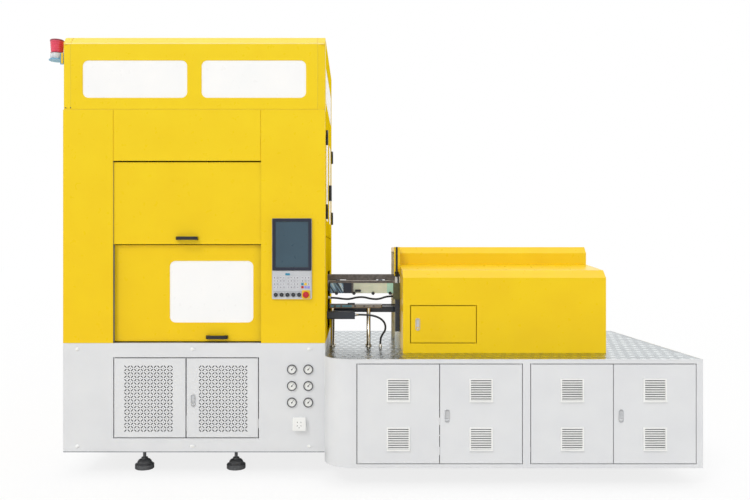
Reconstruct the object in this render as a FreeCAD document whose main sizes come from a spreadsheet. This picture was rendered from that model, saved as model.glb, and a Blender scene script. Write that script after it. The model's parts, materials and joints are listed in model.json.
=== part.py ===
"""One-step injection stretch blow moulding machine: a tall yellow press tower on a grey base, and beside it a
low grey cabinet whose chequered deck carries the covered injection unit.

Frame: +X to the right along the machine, +Y from the operator's side to the back, +Z up, millimetres.
The origin is on the floor under the middle of the machine.
"""

import FreeCAD
import Part
import math
import os
import re
import Sketcher

from FreeCAD import Placement, Rotation, Vector

# ---------------------------------------------------------------- driving dimensions, in millimetres
SIZES = {
    # where the tower stands: its left side and its front face
    "tower_x0": -1982,
    "tower_y0": -609,
    # tower: overall, and the heights that are stacked on the bed
    "tower_w": 1730,
    "tower_d": 1300,
    "skirt_z": 160,
    "cabinet_skirt_z": 127,
    "bed_top": 881,
    "lower_door_height": 645,
    "middle_door_height": 548,
    "name_panel_height": 347,
    "hood_height": 485,
    "left_column_w": 330,
    "right_column_w": 423,
    # sheet metal
    "sheet": 2.5,
    "seam": 5,
    "fold": 25,
    "edge_play": 0.5,
    # hood
    "hood_depth": 100,
    "hood_fold_w": 50,
    "hood_fold_d": 14,
    "hood_groove_w": 3,
    "hood_groove_d": 1.2,
    "hood_slope": 55,
    "hood_window_side": 130,
    "hood_window_right": 126,
    "hood_window_low": 74,
    "hood_window_height": 247,
    "hood_mullion": 95,
    "window_round": 38,
    "pane": 4,
    "pane_lap": 12,
    # lifting doors and their guide channels
    "door_depth": 18,
    "door_lap": 20,
    "door_front_play": 11,
    "door_step": 26,
    "guide_web": 4,
    "guide_above": 60,
    "lower_window_left": 366,
    "lower_window_right": 56,
    "lower_window_low": 127,
    "lower_window_height": 410,
    "middle_handle_z": 42,
    "lower_handle_z": 32,
    "lower_handle_right": 295,
    "handle_length": 142,
    "handle_reach": 44,
    "handle_bar": 22,
    # steel tubes
    "base_beam": 100,
    "tube": 50,
    # base of the tower: grille doors, gauges, socket
    "grille_left": 331,
    "grille_right": 437,
    "grille_low": 92,
    "grille_high": 94,
    "grille_margin_x": 72,
    "grille_margin_z": 44,
    "grille_pitch": 23.5,
    "grille_dash": 24,
    "grille_slot": 6,
    "gauge_right": 219,
    "gauge_pitch_x": 108,
    "gauge_low": 490,
    "gauge_pitch_z": 109,
    "gauge_radius": 38,
    "gauge_depth": 14,
    "needle_length": 22,
    "socket_right": 169,
    "socket_z": 309,
    "socket_side": 86,
    "socket_depth": 34,
    "socket_pin": 12,
    "socket_slot_w": 3,
    "socket_slot_h": 12,
    "screw_inset_x": 94,
    "screw_inset_z": 40,
    "screw_radius": 9,
    # hinge pins
    "pin_radius": 3,
    "pin_inset": 5,
    "pin_play": 0.3,
    "pin_length": 9,
    # hinges of the side door
    "hinge_leaf": 34,
    "hinge_barrel": 8,
    "hinge_height": 50,
    "side_hinge_z": 170,
    # side door and the openings of the right side
    "side_door_front": 128,
    "side_door_back": 78,
    "side_door_low": 1585,
    "side_window_margin": 90,
    "side_window_low": 110,
    "side_grip_inset": 30,
    "side_grip_w": 22,
    "side_grip_z": 1865,
    "side_window_front": 40,
    "barrel_way_w": 440,
    "barrel_way_height": 430,
    # locks
    "grille_lock_z": 502,
    "lock_inset": 45,
    "lock_w": 30,
    "lock_height": 82,
    "lock_proud": 2.5,
    "lock_rim": 2,
    "lock_back": 14,
    "lock_release": 6,
    "lever_w": 17,
    "lever_height": 52,
    "lever_deep": 8,
    "lever_top": 8,
    "lever_pivot": 13,
    # control panel
    "control_inset": 87,
    "control_w": 262,
    "control_height": 532,
    "control_z": 1172,
    "control_proud": 14,
    "control_back": 70,
    "screen_border": 17,
    "key_w": 20,
    "key_height": 20,
    "key_gap": 6,
    "key_row": 66,
    "key_block_1": 12,
    "key_block_2": 101,
    "key_block_3": 196,
    "button_row": 29,
    "button_left": 25,
    "stop_right": 38,
    "screen_height": 307,
    "button_radius": 15,
    "button_pitch": 38.5,
    "button_travel": 5,
    "stop_radius": 20,
    # beacon
    "beacon_radius": 45,
    "beacon_out": 74,
    "beacon_back": 90,
    "beacon_z": 2772,
    "beacon_plate": 4,
    "beacon_neck": 40,
    "beacon_post_x": 40,
    "beacon_post_w": 24,
    "beacon_post_h": 78,
    "beacon_flange_h": 60,
    "rib_pitch": 14,
    "lens_height": 93,
    # feet
    "foot_radius": 64,
    "foot_step": 47,
    "foot_stud": 11,
    "foot_wall": 30,
    "foot_dome": 34,
    "foot_nut": 12,
    "foot_x1": 484,
    "foot_x2": 1112,
    "foot_inset": 197,
    # cabinet
    "cabinet_l": 2380,
    "cabinet_step": 250,
    "cabinet_d": 1730,
    "deck_z": 808,
    "deck_plate": 5,
    "corner_radius": 190,
    "bay_left": 207,
    "bay_right": 40,
    "mullion": 47,
    "bay_low": 29,
    "bay_high": 26,
    "cabinet_lock_z": 454,
    "louvre_w": 146,
    "louvre_border": 9,
    "louvre_height": 148,
    "louvre_proud": 10,
    "louvre_frame": 7,
    "louvre_lip": 13,
    "louvre_low": 79,
    "louvre_pitch": 305,
    "cabinet_post": 30,
    "cabinet_beam": 60,
    "cabinet_foot_front": 550,
    "cabinet_foot_back": 250,
    "cabinet_foot_side": 370,
    # covers of the injection unit
    "cover_left": 517,
    "cover_l": 1354,
    "cover_front_y": 300,
    "cover_front_z": 502,
    "cover_slope": 60,
    "cover_slope_z": 49,
    "cover_rise": 33,
    "front_cover_d": 440,
    "rear_cover_d": 440,
    "rear_cover_z": 665,
    "rear_slope": 45,
    "hatch_left": 53,
    "hatch_w": 434,
    "hatch_low": 70,
    "hatch_height": 244,
    # injection unit
    "barrel_y": 700,
    "barrel_z": 1240,
    "barrel_radius": 52,
    "rail_height": 43,
    "rail_w": 60,
    "rail_top": 1084,
    "rail_spread": 110,
    "rail_start": 120,
    "pedestal": 100,
    "nozzle_cone": 110,
    "barrel_l": 960,
    "screw_radius_in": 28,
    "band_w": 120,
    "carriage_l": 300,
    "portal": 34,
    "portal_top": 1484,
    "guard_gap": 12,
    "guard_leaf": 24,
    "guard_sash": 22,
    "guard_bar_w": 40,
    "valve_w": 196,
    "valve_d": 90,
    "guard_half": 300,
    "guard_knuckle": 6,
    "guard_knuckle_l": 30,
    "guard_hinge_inset": 60,
    "guard_low": 1187,
    "guard_height": 93,
    "stand_gap": 11,
    "stand_w": 380,
    "stand_d": 130,
    "stand_top": 1106,
    "stand_y": 400,
    "stand_leg": 14,
    "stand_leg_x1": 24,
    "stand_leg_x2": 283,
    "stand_plate": 24,
    # hoses
    "hose_radius": 7,
    "hose_fitting": 24,
    "drain_run": 180,
    "drain_rise": 34,
    "line_climb": 12,
    "line_above": 46,
    "line_back": 60,
    # press inside the tower
    "press_x": 868,
    "bed_thick": 60,
    "bar_radius": 40,
    "bar_x": 600,
    "bar_y": 450,
    "nut_wall": 28,
    "nut_height": 45,
    "top_platen_z": 2440,
    "top_platen": 80,
    "table_radius": 500,
    "table_z": 1520,
    "table_thick": 40,
    "station": 330,
    "platen_z": 1920,
    "platen_thick": 70,
    "core_pitch": 100,
    "core_radius": 14,
    "core_length": 290,
    "ram_radius": 60,
    "ram_l": 800,
    "clamp_height": 300,
    "mould_l": 340,
    "mould_half": 90,
    "mould_gap": 8,
    "cavity_depth": 200,
    "blow_thick": 100,
    "blow_travel": 70,
    "blow_height": 300,
    "blow_gap": 0.5,
    "pedestal_flange": 148,
    "pedestal_radius": 130,
    "table_spigot": 60,
    "bottle_radius": 40,
    "rod_radius": 7,
    "rod_head_z": 250,
    "rod_l": 650,
    "rod_piston": 12,
    "rod_stroke": 240,
    # equipment in the cabinet
    "tank_gap": 20,
    "tank_w": 760,
    "tank_d": 480,
    "tank_h": 260,
    "tank_lap": 8,
    "tank_lid": 6,
    "motor_inset": 40,
    "motor_radius": 105,
    "motor_l": 300,
    "motor_stand": 20,
    "bell_l": 90,
    "pump_radius": 55,
    "pump_l": 120,
    "plate_left": 1700,
    "plate_w": 560,
    "drive_w": 100,
    "drive_d": 120,
    "drive_h": 240,
    "drive_z": 160,
}

SLATS = 9
LENS_RIBS = 5
LENS_TAPER = 0.9
NEEDLE_LEAN = 40
STATIONS = 4
DRIVES = 4

doc = FreeCAD.newDocument("blow_moulding_machine")
sizes = doc.addObject("Spreadsheet::Sheet", "Sizes")
for row, (alias, value) in enumerate(SIZES.items(), start=1):
    sizes.set(f"A{row}", alias)
    sizes.set(f"B{row}", str(value))
    sizes.setAlias(f"B{row}", alias)
doc.recompute()

nodes = {}

# places that several pieces share, worked out from the sizes
TOWER_RIGHT = "(tower_x0 + tower_w)"
TOWER_BACK = "(tower_y0 + tower_d)"
DOOR_X = "(tower_x0 + left_column_w)"
DOOR_W = "(tower_w - left_column_w - right_column_w)"
LOWER_Z = "(bed_top + seam)"
MIDDLE_Z = "(bed_top + seam + lower_door_height)"
NAME_Z = "(bed_top + seam + lower_door_height + middle_door_height)"
BAND_Z = "(bed_top + seam + lower_door_height + middle_door_height + name_panel_height)"
TOWER_TOP = "(bed_top + seam + lower_door_height + middle_door_height + name_panel_height + hood_height)"
CAB_X = TOWER_RIGHT
CAB_Y = "(tower_y0 - cabinet_step)"
CAB_RIGHT = "(tower_x0 + tower_w + cabinet_l)"
CAB_BACK = "(tower_y0 - cabinet_step + cabinet_d)"
BED_LOW = "(bed_top - bed_thick)"
DECK_LOW = "(deck_z - deck_plate)"
PRESS_X = "(tower_x0 + press_x)"
PRESS_Y = "(tower_y0 + barrel_y)"
COVER_X = "(tower_x0 + tower_w + cover_left)"
COVER_Y = "(tower_y0 - cabinet_step + cover_front_y)"
REAR_Y = "(tower_y0 - cabinet_step + cover_front_y + front_cover_d)"


# ---------------------------------------------------------------- small builders
def ref(text):
    """The expression with the sheet's name put before each alias."""
    return re.sub(
        r"[A-Za-z_]\w*", lambda m: "Sizes." + m.group(0) if m.group(0) in SIZES else m.group(0), str(text),
    )


def size(text):
    """What an expression comes to, in millimetres."""
    return float(sizes.evalExpression(ref(text)))


def put(obj, x="0", y="0", z="0", turn=None):
    """Places an object, with each coordinate bound to the sheet."""
    if turn is not None:
        obj.Placement = Placement(Vector(0, 0, 0), turn)
    for letter, text in zip("xyz", (x, y, z)):
        obj.setExpression(f"Placement.Base.{letter}", ref(text))
    return obj


def box(name, x, y, z, dx, dy, dz):
    made = doc.addObject("Part::Box", name)
    made.setExpression("Length", ref(dx))
    made.setExpression("Width", ref(dy))
    made.setExpression("Height", ref(dz))
    return put(made, x, y, z)


TURNS = {
    "+X": Rotation(Vector(0, 1, 0), 90),
    "-X": Rotation(Vector(0, 1, 0), -90),
    "+Y": Rotation(Vector(1, 0, 0), -90),
    "-Y": Rotation(Vector(1, 0, 0), 90),
    "+Z": Rotation(),
    "-Z": Rotation(Vector(1, 0, 0), 180),
}


def rod(name, x, y, z, radius, length, along="+Z"):
    made = doc.addObject("Part::Cylinder", name)
    made.setExpression("Radius", ref(radius))
    made.setExpression("Height", ref(length))
    return put(made, x, y, z, TURNS[along])


def fuse(name, *shapes):
    made = doc.addObject("Part::MultiFuse", name)
    made.Shapes = list(shapes)
    made.Refine = True
    return made


def group(name, *shapes):
    """Several separate solids that share one node."""
    made = doc.addObject("Part::Compound", name)
    made.Links = list(shapes)
    return made


def cut(name, base, *tools):
    made = doc.addObject("Part::Cut", name)
    made.Base = base
    made.Tool = tools[0] if len(tools) == 1 else group(name + "_tools", *tools)
    return made


def node(label, shape):
    """Names a finished piece: its label names its file."""
    shape.Label = label
    nodes[label] = shape
    return shape


def origin_plane(body, role):
    return next(f for f in body.Origin.OriginFeatures if f.Role == role)


def outline(body, plane, points, name=""):
    """A closed sketch of straight lines whose corners, pairs of expressions, are bound to the sheet."""
    sketch = body.newObject("Sketcher::SketchObject", name or body.Name + "_outline")
    sketch.AttachmentSupport = [(origin_plane(body, plane), "")]
    sketch.MapMode = "FlatFace"
    at = [Vector(size(x), size(y), 0) for x, y in points]
    count = len(at)
    for i in range(count):
        sketch.addGeometry(Part.LineSegment(at[i], at[(i + 1) % count]), False)
    for i in range(count):
        sketch.addConstraint(Sketcher.Constraint("Coincident", i, 2, (i + 1) % count, 1))
    for i, (x, y) in enumerate(points):
        for kind, text, value in (("DistanceX", x, at[i].x), ("DistanceY", y, at[i].y)):
            index = sketch.addConstraint(Sketcher.Constraint(kind, -1, 1, i, 1, value))
            label = f"{kind[-1].lower()}{i}"
            sketch.renameConstraint(index, label)
            sketch.setExpression(f"Constraints.{label}", ref(text))
    return sketch


def prism(name, plane, points, length, x="0", y="0", z="0", back=False):
    """A body padded from one outline: XY pads to +Z, YZ to +X and XZ to -Y, and back turns that round."""
    body = doc.addObject("PartDesign::Body", name)
    sketch = outline(body, plane + "_Plane", points)
    pad = body.newObject("PartDesign::Pad", name + "_pad")
    pad.Profile = sketch
    pad.setExpression("Length", ref(length))
    pad.Reversed = back
    sketch.Visibility = False
    return put(body, x, y, z)


def rounded(name, x, y, z, dx, dy, dz, radius, along="y"):
    """A box whose four edges along one axis are rounded, as a body."""
    planes = {"x": ("YZ", dy, dz, dx, False), "y": ("XZ", dx, dz, dy, True), "z": ("XY", dx, dy, dz, False)}
    plane, wide, high, deep, back = planes[along]
    corners = [("0", "0"), (wide, "0"), (wide, high), ("0", high)]
    body = prism(name, plane, corners, deep, x, y, z, back)
    doc.recompute()
    pad = body.Tip
    want = Vector(*[float(letter == along) for letter in "xyz"])
    edges = []
    for i, edge in enumerate(pad.Shape.Edges, start=1):
        run = edge.Vertexes[-1].Point.sub(edge.Vertexes[0].Point)
        if run.Length > 1e-6 and abs(run.normalize().dot(want)) > 0.999:
            edges.append(f"Edge{i}")
    fillet = body.newObject("PartDesign::Fillet", name + "_round")
    fillet.Base = (pad, edges)
    fillet.setExpression("Radius", ref(radius))
    return body


def turned(name, points, x, y, z, along="+Z"):
    """A body of revolution from (radius, height) pairs of expressions, with its axis along one row axis."""
    body = doc.addObject("PartDesign::Body", name)
    sketch = outline(body, "XZ_Plane", points)
    spin = body.newObject("PartDesign::Revolution", name + "_spin")
    spin.Profile = sketch
    spin.ReferenceAxis = (sketch, ["V_Axis"])
    spin.Angle = 360
    sketch.Visibility = False
    return put(body, x, y, z, TURNS[along])


def tray(name, x, y, z, dx, dy, dz, open_side):
    """A folded sheet panel: a flat front and four returns, hollow towards open_side."""
    outer = box(name + "_out", x, y, z, dx, dy, dz)
    step = {"x": ("sheet", "0"), "y": ("sheet", "0"), "z": ("sheet", "0")}
    letter, sign = open_side[1].lower(), open_side[0]
    start, spans = {}, {}
    for axis, low, span in zip("xyz", (x, y, z), (dx, dy, dz)):
        start[axis] = f"{low} + {step[axis][0]}"
        spans[axis] = f"{span} - 2 * sheet"
    low = {"x": x, "y": y, "z": z}[letter]
    span = {"x": dx, "y": dy, "z": dz}[letter]
    spans[letter] = span
    start[letter] = f"{low} + sheet" if sign == "+" else f"{low} - sheet"
    inner = box(name + "_in", start["x"], start["y"], start["z"], spans["x"], spans["y"], spans["z"])
    return cut(name, outer, inner)


def swung_door(name, x, y, z, dx, dz, pin_on, holes=()):
    """A tray door that turns on two short pins near its front corner. Returns the door."""
    pan = tray(name + "_pan", x, y, z, dx, "door_depth", dz, "+Y")
    pin_x = f"{x} + pin_inset" if pin_on == "left" else f"{x} + {dx} - pin_inset"
    pin_y = f"{y} + pin_inset"
    low = rod(name + "_pin_low", pin_x, pin_y, f"{z} - pin_length", "pin_radius", "pin_length + sheet")
    high = rod(name + "_pin_high", pin_x, pin_y, f"{z} + {dz} - sheet", "pin_radius", "pin_length + sheet")
    whole = fuse(name + "_with_pins", pan, low, high)
    return cut(name, whole, *holes) if holes else whole


def pin_holes(name, x, y, z, dx, dz, pin_on):
    """The holes that a swung door's two pins turn in."""
    pin_x = f"{x} + pin_inset" if pin_on == "left" else f"{x} + {dx} - pin_inset"
    made = []
    for end, low in (("low", f"{z} - fold - seam"), ("high", f"{z} + {dz} + seam / 2")):
        made.append(
            rod(
                f"{name}_hole_{end}", pin_x, f"{y} + pin_inset", low, "pin_radius + pin_play",
                "fold + seam / 2",
            )
        )
    return made


def frame_ring(name, x, y, z, dx, dz, depth):
    """The return folded round an opening, standing outside it."""
    outer = box(
        name + "_out", f"{x} - sheet", y, f"{z} - sheet", f"{dx} + 2 * sheet", depth, f"{dz} + 2 * sheet",
    )
    inner = box(name + "_in", x, f"{y} - 1", z, dx, f"{depth} + 2", dz)
    return cut(name, outer, inner)


def door_lock(name, x, y, z):
    """A flush lock centred on (x, z) in a door whose front is at y: housing, lever and door hole."""
    top, foot_z = f"{z} + lock_height / 2", f"{z} - lock_height / 2"
    lever_z = f"{top} - lever_top - lever_height"
    housing = rounded(
        name + "_plate", f"{x} - lock_w / 2", f"{y} - lock_proud", foot_z,
        "lock_w", "lock_proud", "lock_height", "lock_w * 0.48",
    )
    back_w, back_h = "lock_w - 2 * lock_rim", "lock_height - 3 * lock_rim"
    back_x, back_z = f"{x} - lock_w / 2 + lock_rim", f"{foot_z} + 1.5 * lock_rim"
    back = box(name + "_back", back_x, y, back_z, back_w, "lock_back", back_h)
    pocket = box(
        name + "_pocket", f"{x} - lever_w / 2 - edge_play", f"{y} - lock_proud", f"{lever_z} - edge_play",
        "lever_w + 2 * edge_play", "lever_deep + 3", "lever_height + 3",
    )
    release = rod(name + "_release", x, f"{y} - lock_proud - 1.5", f"{foot_z} + 2 * lock_release",
                  "lock_release", "3", "+Y")
    whole = cut(name + "_housing", fuse(name + "_body", housing, back, release), pocket)
    lever = rounded(
        name + "_bar", f"{x} - lever_w / 2", f"{y} - lock_proud - 1", lever_z,
        "lever_w", "lever_deep", "lever_height", "4",
    )
    pivot = rod(
        name + "_pivot", f"{x} - lever_w / 2 - edge_play + 0.2", f"{y} + 2", f"{top} - lever_pivot",
        "2", "lever_w + 2 * edge_play - 0.4", "+X",
    )
    grip = box(
        name + "_grip", f"{x} - lever_w / 2 + 4", f"{y} - lock_proud - 2", f"{lever_z} + 2",
        "lever_w - 8", "3", "7",
    )
    hole = box(
        name + "_hole", back_x, f"{y} - 1", back_z, back_w, "fold", back_h,
    )
    return whole, cut(name + "_lever", fuse(name + "_lever_body", lever, pivot), grip), hole


def bridge_handle(name, x, y, z):
    """A bridge handle centred on (x, z), out of a face at y: two feet and a bar, chamfered at the bends."""
    half, leg = "handle_length / 2", "handle_bar"
    points = [
        (f"-{half}", "0"), (f"-{half}", "-handle_reach * 0.62"), (
            f"-{half} + handle_reach * 0.38", "-handle_reach",
        ),
        (f"{half} - handle_reach * 0.38", "-handle_reach"), (half, "-handle_reach * 0.62"), (half, "0"),
        (f"{half} - {leg}", "0"), (f"{half} - {leg}", "-handle_reach * 0.5"),
        (f"-{half} + {leg}", "-handle_reach * 0.5"), (f"-{half} + {leg}", "0"),
    ]
    return prism(name, "XY", points, "handle_bar", x, y, f"{z} - handle_bar / 2")


def butt_hinge(name, x, y, z, leaf_way):
    """A hinge with an upright pin, on a face that looks along +X. leaf_way is the side, +Y or -Y, that moves.

    Returns its fixed half and its moving half.
    """
    other = {"+Y": "-Y", "-Y": "+Y"}[leaf_way]
    start = {"+Y": y, "-Y": f"{y} - hinge_leaf"}
    axis_x = f"{x} + hinge_barrel"
    plate_z = f"{z} - hinge_height"
    fixed = fuse(
        name + "_fixed",
        box(name + "_fixed_leaf", x, start[other], plate_z, "hinge_barrel / 2", "hinge_leaf", "hinge_height"),
        rod(name + "_fixed_knuckle", axis_x, y, plate_z, "hinge_barrel", "hinge_height"),
    )
    bore = rod(name + "_bore", axis_x, y, f"{plate_z} + 5", "pin_radius + pin_play", "hinge_height")
    moving = fuse(
        name + "_moving",
        box(name + "_moving_leaf", x, start[leaf_way], z, "hinge_barrel / 2", "hinge_leaf", "hinge_height"),
        rod(
            name + "_moving_knuckle", axis_x, y, f"{z} + edge_play", "hinge_barrel",
            "hinge_height - edge_play",
        ),
        rod(name + "_pin", axis_x, y, f"{z} - hinge_height / 2", "pin_radius", "hinge_height"),
    )
    return cut(name + "_fixed_half", fixed, bore), moving


# ---------------------------------------------------------------- welded frame
def beam_x(name, x, y, z, length, side):
    return box(name, x, y, z, length, side, side)


def beam_y(name, x, y, z, length, side):
    return box(name, x, y, z, side, length, side)


def post(name, x, y, z, length, side):
    return box(name, x, y, z, side, side, length)


def tower_frame():
    """Tubes of the tower: heavy beams under the bed, posts and a ring that carry it, and the posts above."""
    left, front = "tower_x0 + fold", "tower_y0 + fold"
    right, back = f"{TOWER_RIGHT} - fold", f"{TOWER_BACK} - fold"
    inner_l, inner_d = "tower_w - 2 * fold", "tower_d - 2 * fold"
    parts = []
    for end, y in (("front", f"{front} + tube"), ("rear", f"{back} - tube - base_beam")):
        parts.append(beam_x(f"base_beam_{end}", left, y, "skirt_z", inner_l, "base_beam"))
    between = f"{front} + tube + base_beam"
    span = f"{inner_d} - 2 * tube - 2 * base_beam"
    for i, x in enumerate((left, "tower_x0 + foot_x1 - base_beam / 2", "tower_x0 + foot_x2 - base_beam / 2",
                           f"{right} - base_beam")):
        parts.append(beam_y(f"base_rail_{i + 1}", x, between, "skirt_z", span, "base_beam"))
    corners = [
        (left, front), (f"{right} - tube", front), (left, f"{back} - tube"),
        (f"{right} - tube", f"{back} - tube"),
    ]
    for i, (x, y) in enumerate(corners):
        parts.append(post(f"base_post_{i + 1}", x, y, "skirt_z", f"{BED_LOW} - tube - skirt_z", "tube"))
        upper_y = y if i > 1 else f"{y} + tube"
        parts.append(
            post(
                f"tower_post_{i + 1}", x, upper_y, "bed_top", f"{TOWER_TOP} - sheet - tube - bed_top",
                "tube",
            )
        )
    for level, z in (("base", f"{BED_LOW} - tube"), ("roof", f"{TOWER_TOP} - sheet - tube")):
        front_y = front if level == "base" else f"{front} + tube"
        for end, y in (("front", front_y), ("rear", f"{back} - tube")):
            parts.append(beam_x(f"{level}_ring_{end}", left, y, z, inner_l, "tube"))
        for end, x in (("left", left), ("right", f"{right} - tube")):
            start = f"{front_y} + tube"
            parts.append(beam_y(f"{level}_ring_{end}", x, start, z, f"{back} - tube - ({start})", "tube"))
    return parts


def guide_profile(name, x, side):
    """An upright channel with a slot for each lifting door, which opens to side, +1 or -1."""
    reach = "door_lap + edge_play"
    deep = "2 * door_step + 8"

    def wide(amount):
        return amount if side > 0 else f"-({amount})"

    low_1, high_1 = "door_front_play - sheet - edge_play", "door_front_play - sheet + door_depth + edge_play"
    low_2, high_2 = f"{low_1} + door_step", f"{high_1} + door_step"
    points = [
        (wide("-guide_web"), "0"), (wide(reach), "0"), (wide(reach), low_1), ("0", low_1), ("0", high_1),
        (wide(reach), high_1), (wide(reach), low_2), ("0", low_2), ("0", high_2), (wide(reach), high_2),
        (wide(reach), deep), (wide("-guide_web"), deep),
    ]
    length = f"{BAND_Z} + guide_above - ({LOWER_Z})"
    return prism(name, "XY", points, length, x, "tower_y0 + sheet", LOWER_Z)


def door_guides():
    """Both guide channels, and the posts that they are bolted to."""
    parts = []
    left_x = f"{DOOR_X} - door_lap - edge_play"
    right_x = f"{DOOR_X} + {DOOR_W} + door_lap + edge_play"
    parts.append(guide_profile("guide_left", left_x, 1))
    parts.append(guide_profile("guide_right", right_x, -1))
    height = f"{TOWER_TOP} - sheet - tube - bed_top"
    for end, x in (("left", f"{left_x} - guide_web - tube"), ("right", f"{right_x} + guide_web")):
        parts.append(post(f"guide_post_{end}", x, "tower_y0 + sheet + fold", "bed_top", height, "tube"))
    return parts


def cabinet_frame():
    """Tubes inside the low cabinet: rails on its floor, posts behind its mullions, a ring under the deck."""
    parts = []
    x, length = f"{CAB_X} + sheet", "cabinet_l - 2 * sheet"
    rail_x, rail_l = f"{CAB_X} + corner_radius", "cabinet_l - corner_radius - sheet"
    front = f"{CAB_Y} + fold"
    parts.append(beam_x("cabinet_rail_front", rail_x, front, "cabinet_skirt_z", rail_l, "cabinet_beam"))
    rows = (f"{CAB_Y} + cabinet_foot_front - cabinet_beam / 2", f"{CAB_Y} + cabinet_d / 2",
            f"{CAB_BACK} - cabinet_foot_back - cabinet_beam / 2")
    for i, y in enumerate(rows):
        parts.append(beam_x(f"cabinet_rail_{i + 1}", x, y, "cabinet_skirt_z", length, "cabinet_beam"))
    ties = (
        f"{CAB_X} + cabinet_foot_side - cabinet_beam / 2",
        f"{CAB_X} + bay_left + 2 * {BAY_W} + 3 * seam + mullion / 2",
        f"{CAB_RIGHT} - cabinet_foot_side - cabinet_beam / 2",
    )
    for i, tie_x in enumerate(ties):
        start = f"{front} + cabinet_beam"
        parts.append(
            beam_y(
                f"cabinet_tie_{i + 1}", tie_x, start, "cabinet_skirt_z", f"{rows[0]} - ({start})",
                "cabinet_beam",
            )
        )
    top = f"{DECK_LOW} - cabinet_post"
    parts.append(beam_x("deck_ring_front", rail_x, front, top, rail_l, "cabinet_post"))
    for i, y in enumerate((rows[0], rows[1], rows[2])):
        parts.append(beam_x(f"deck_rail_{i + 1}", x, y, top, length, "cabinet_post"))
    post_low = "cabinet_skirt_z + cabinet_beam"
    for i, (px, py) in enumerate(
        (px, py)
        for py in (front, rows[0], rows[1], rows[2])
        for px in (f"{CAB_X} + corner_radius", MULLION_X, f"{CAB_RIGHT} - sheet - cabinet_post")
    ):
        parts.append(post(f"cabinet_post_{i + 1}", px, py, post_low, f"{top} - ({post_low})", "cabinet_post"))
    return parts


BAY_W = "((cabinet_l - bay_left - bay_right - mullion - 6 * seam) / 4)"
MULLION_X = f"({CAB_X} + bay_left + 2 * {BAY_W} + 3 * seam + (mullion - cabinet_post) / 2)"


def machine_frame():
    node("machine_frame", group("machine_frame_tubes", *tower_frame(), *door_guides(), *cabinet_frame()))


def foot(name, x, y, top):
    """A levelling foot: a drum-shaped pad with a domed top, a stud and two nuts."""
    crown = "foot_wall + foot_dome"
    points = [
        ("0", "0"), ("foot_radius - 3", "0"), ("foot_radius", "3"), ("foot_radius", "foot_wall"),
        ("foot_radius - 3", "foot_wall + 3"), ("foot_radius - 7", "foot_wall + 2"),
        ("foot_step", "foot_wall + foot_dome * 0.4"), ("foot_step", "foot_wall + foot_dome * 0.6"),
        ("foot_step * 0.8", f"{crown} - 3"), ("foot_step * 0.6", crown), ("foot_stud * 2", crown),
        ("foot_stud * 2", f"{crown} + foot_nut"), ("foot_stud", f"{crown} + foot_nut"),
        ("foot_stud", f"{top} - foot_nut"), (
            "foot_stud * 1.8", f"{top} - foot_nut",
        ), ("foot_stud * 1.8", top),
        ("0", top),
    ]
    return turned(name + "_pad", points, x, y, "0")


def levelling_feet():
    feet = []
    for i, (x, y) in enumerate(
        (x, y)
        for y in ("tower_y0 + foot_inset", f"{TOWER_BACK} - foot_inset")
        for x in ("tower_x0 + foot_x1", "tower_x0 + foot_x2")
    ):
        feet.append(foot(f"tower_foot_{i + 1}", x, y, "skirt_z"))
    for i, (x, y) in enumerate(
        (x, y)
        for y in (f"{CAB_Y} + cabinet_foot_front", f"{CAB_BACK} - cabinet_foot_back")
        for x in (f"{CAB_X} + cabinet_foot_side", f"{CAB_RIGHT} - cabinet_foot_side")
    ):
        feet.append(foot(f"cabinet_foot_{i + 1}", x, y, "cabinet_skirt_z"))
    node("levelling_feet", group("feet", *feet))


# ---------------------------------------------------------------- base of the tower
GRILLE_X = "(tower_x0 + grille_left)"
GRILLE_SPAN = "(tower_w - grille_left - grille_right)"
GRILLE_Z = "(skirt_z + grille_low)"
GRILLE_OPEN = "(bed_top - grille_high - skirt_z - grille_low)"
GRILLE_W = "((tower_w - grille_left - grille_right - 3 * seam) / 2)"
GRILLE_H = "(bed_top - grille_high - skirt_z - grille_low - 2 * seam)"


def gauge_places():
    """The six places of the gauges, as pairs of expressions for x and z."""
    return [
        (f"{TOWER_RIGHT} - gauge_right + {i} * gauge_pitch_x", f"gauge_low + {j} * gauge_pitch_z")
        for j in range(3)
        for i in range(2)
    ]


def slot_field(name, x, z, wide, high, y):
    """Slots at 45 degrees whose direction alternates, on a square grid, to be cut from a sheet at y."""
    long, thin = size("grille_dash"), size("grille_slot")
    columns = max(1, round(size(wide) / size("grille_pitch")))
    step = size(wide) / columns
    rows = max(1, round(size(high) / step))
    left, low = size(x), size(z) + (size(high) - rows * step) / 2
    slots = []
    for i in range(columns):
        for j in range(rows):
            slot = Part.makeBox(long, 4 * size("sheet"), thin, Vector(-long / 2, 0, -thin / 2))
            slot.rotate(Vector(0, 0, 0), Vector(0, 1, 0), 45 if (i + j) % 2 else -45)
            slot.translate(Vector(left + (i + 0.5) * step, size(y) - size("sheet"), low + (j + 0.5) * step))
            slots.append(slot)
    made = doc.addObject("Part::Feature", name)
    made.Shape = Part.makeCompound(slots)
    return made


def grille_doors():
    """Two perforated doors. The right one has the lock."""
    z = f"{GRILLE_Z} + seam"
    for side in ("left", "right"):
        x = f"{GRILLE_X} + seam" if side == "left" else f"{GRILLE_X} + 2 * seam + {GRILLE_W}"
        name = f"grille_door_{side}"
        pan = swung_door(name, x, "tower_y0", z, GRILLE_W, GRILLE_H, side)
        field = slot_field(
            name + "_slots", f"{x} + grille_margin_x", f"{z} + grille_margin_z",
            f"{GRILLE_W} - 2 * grille_margin_x", f"{GRILLE_H} - 2 * grille_margin_z", "tower_y0",
        )
        perforated = cut(name + "_perforated", pan, field)
        if side == "left":
            node(name, perforated)
            continue
        housing, lever, hole = door_lock("grille_lock", f"{x} + lock_inset", "tower_y0", "grille_lock_z")
        node(name, group(name + "_set", cut(name + "_drilled", perforated, hole), housing))
        node("grille_lock_lever", lever)


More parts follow.
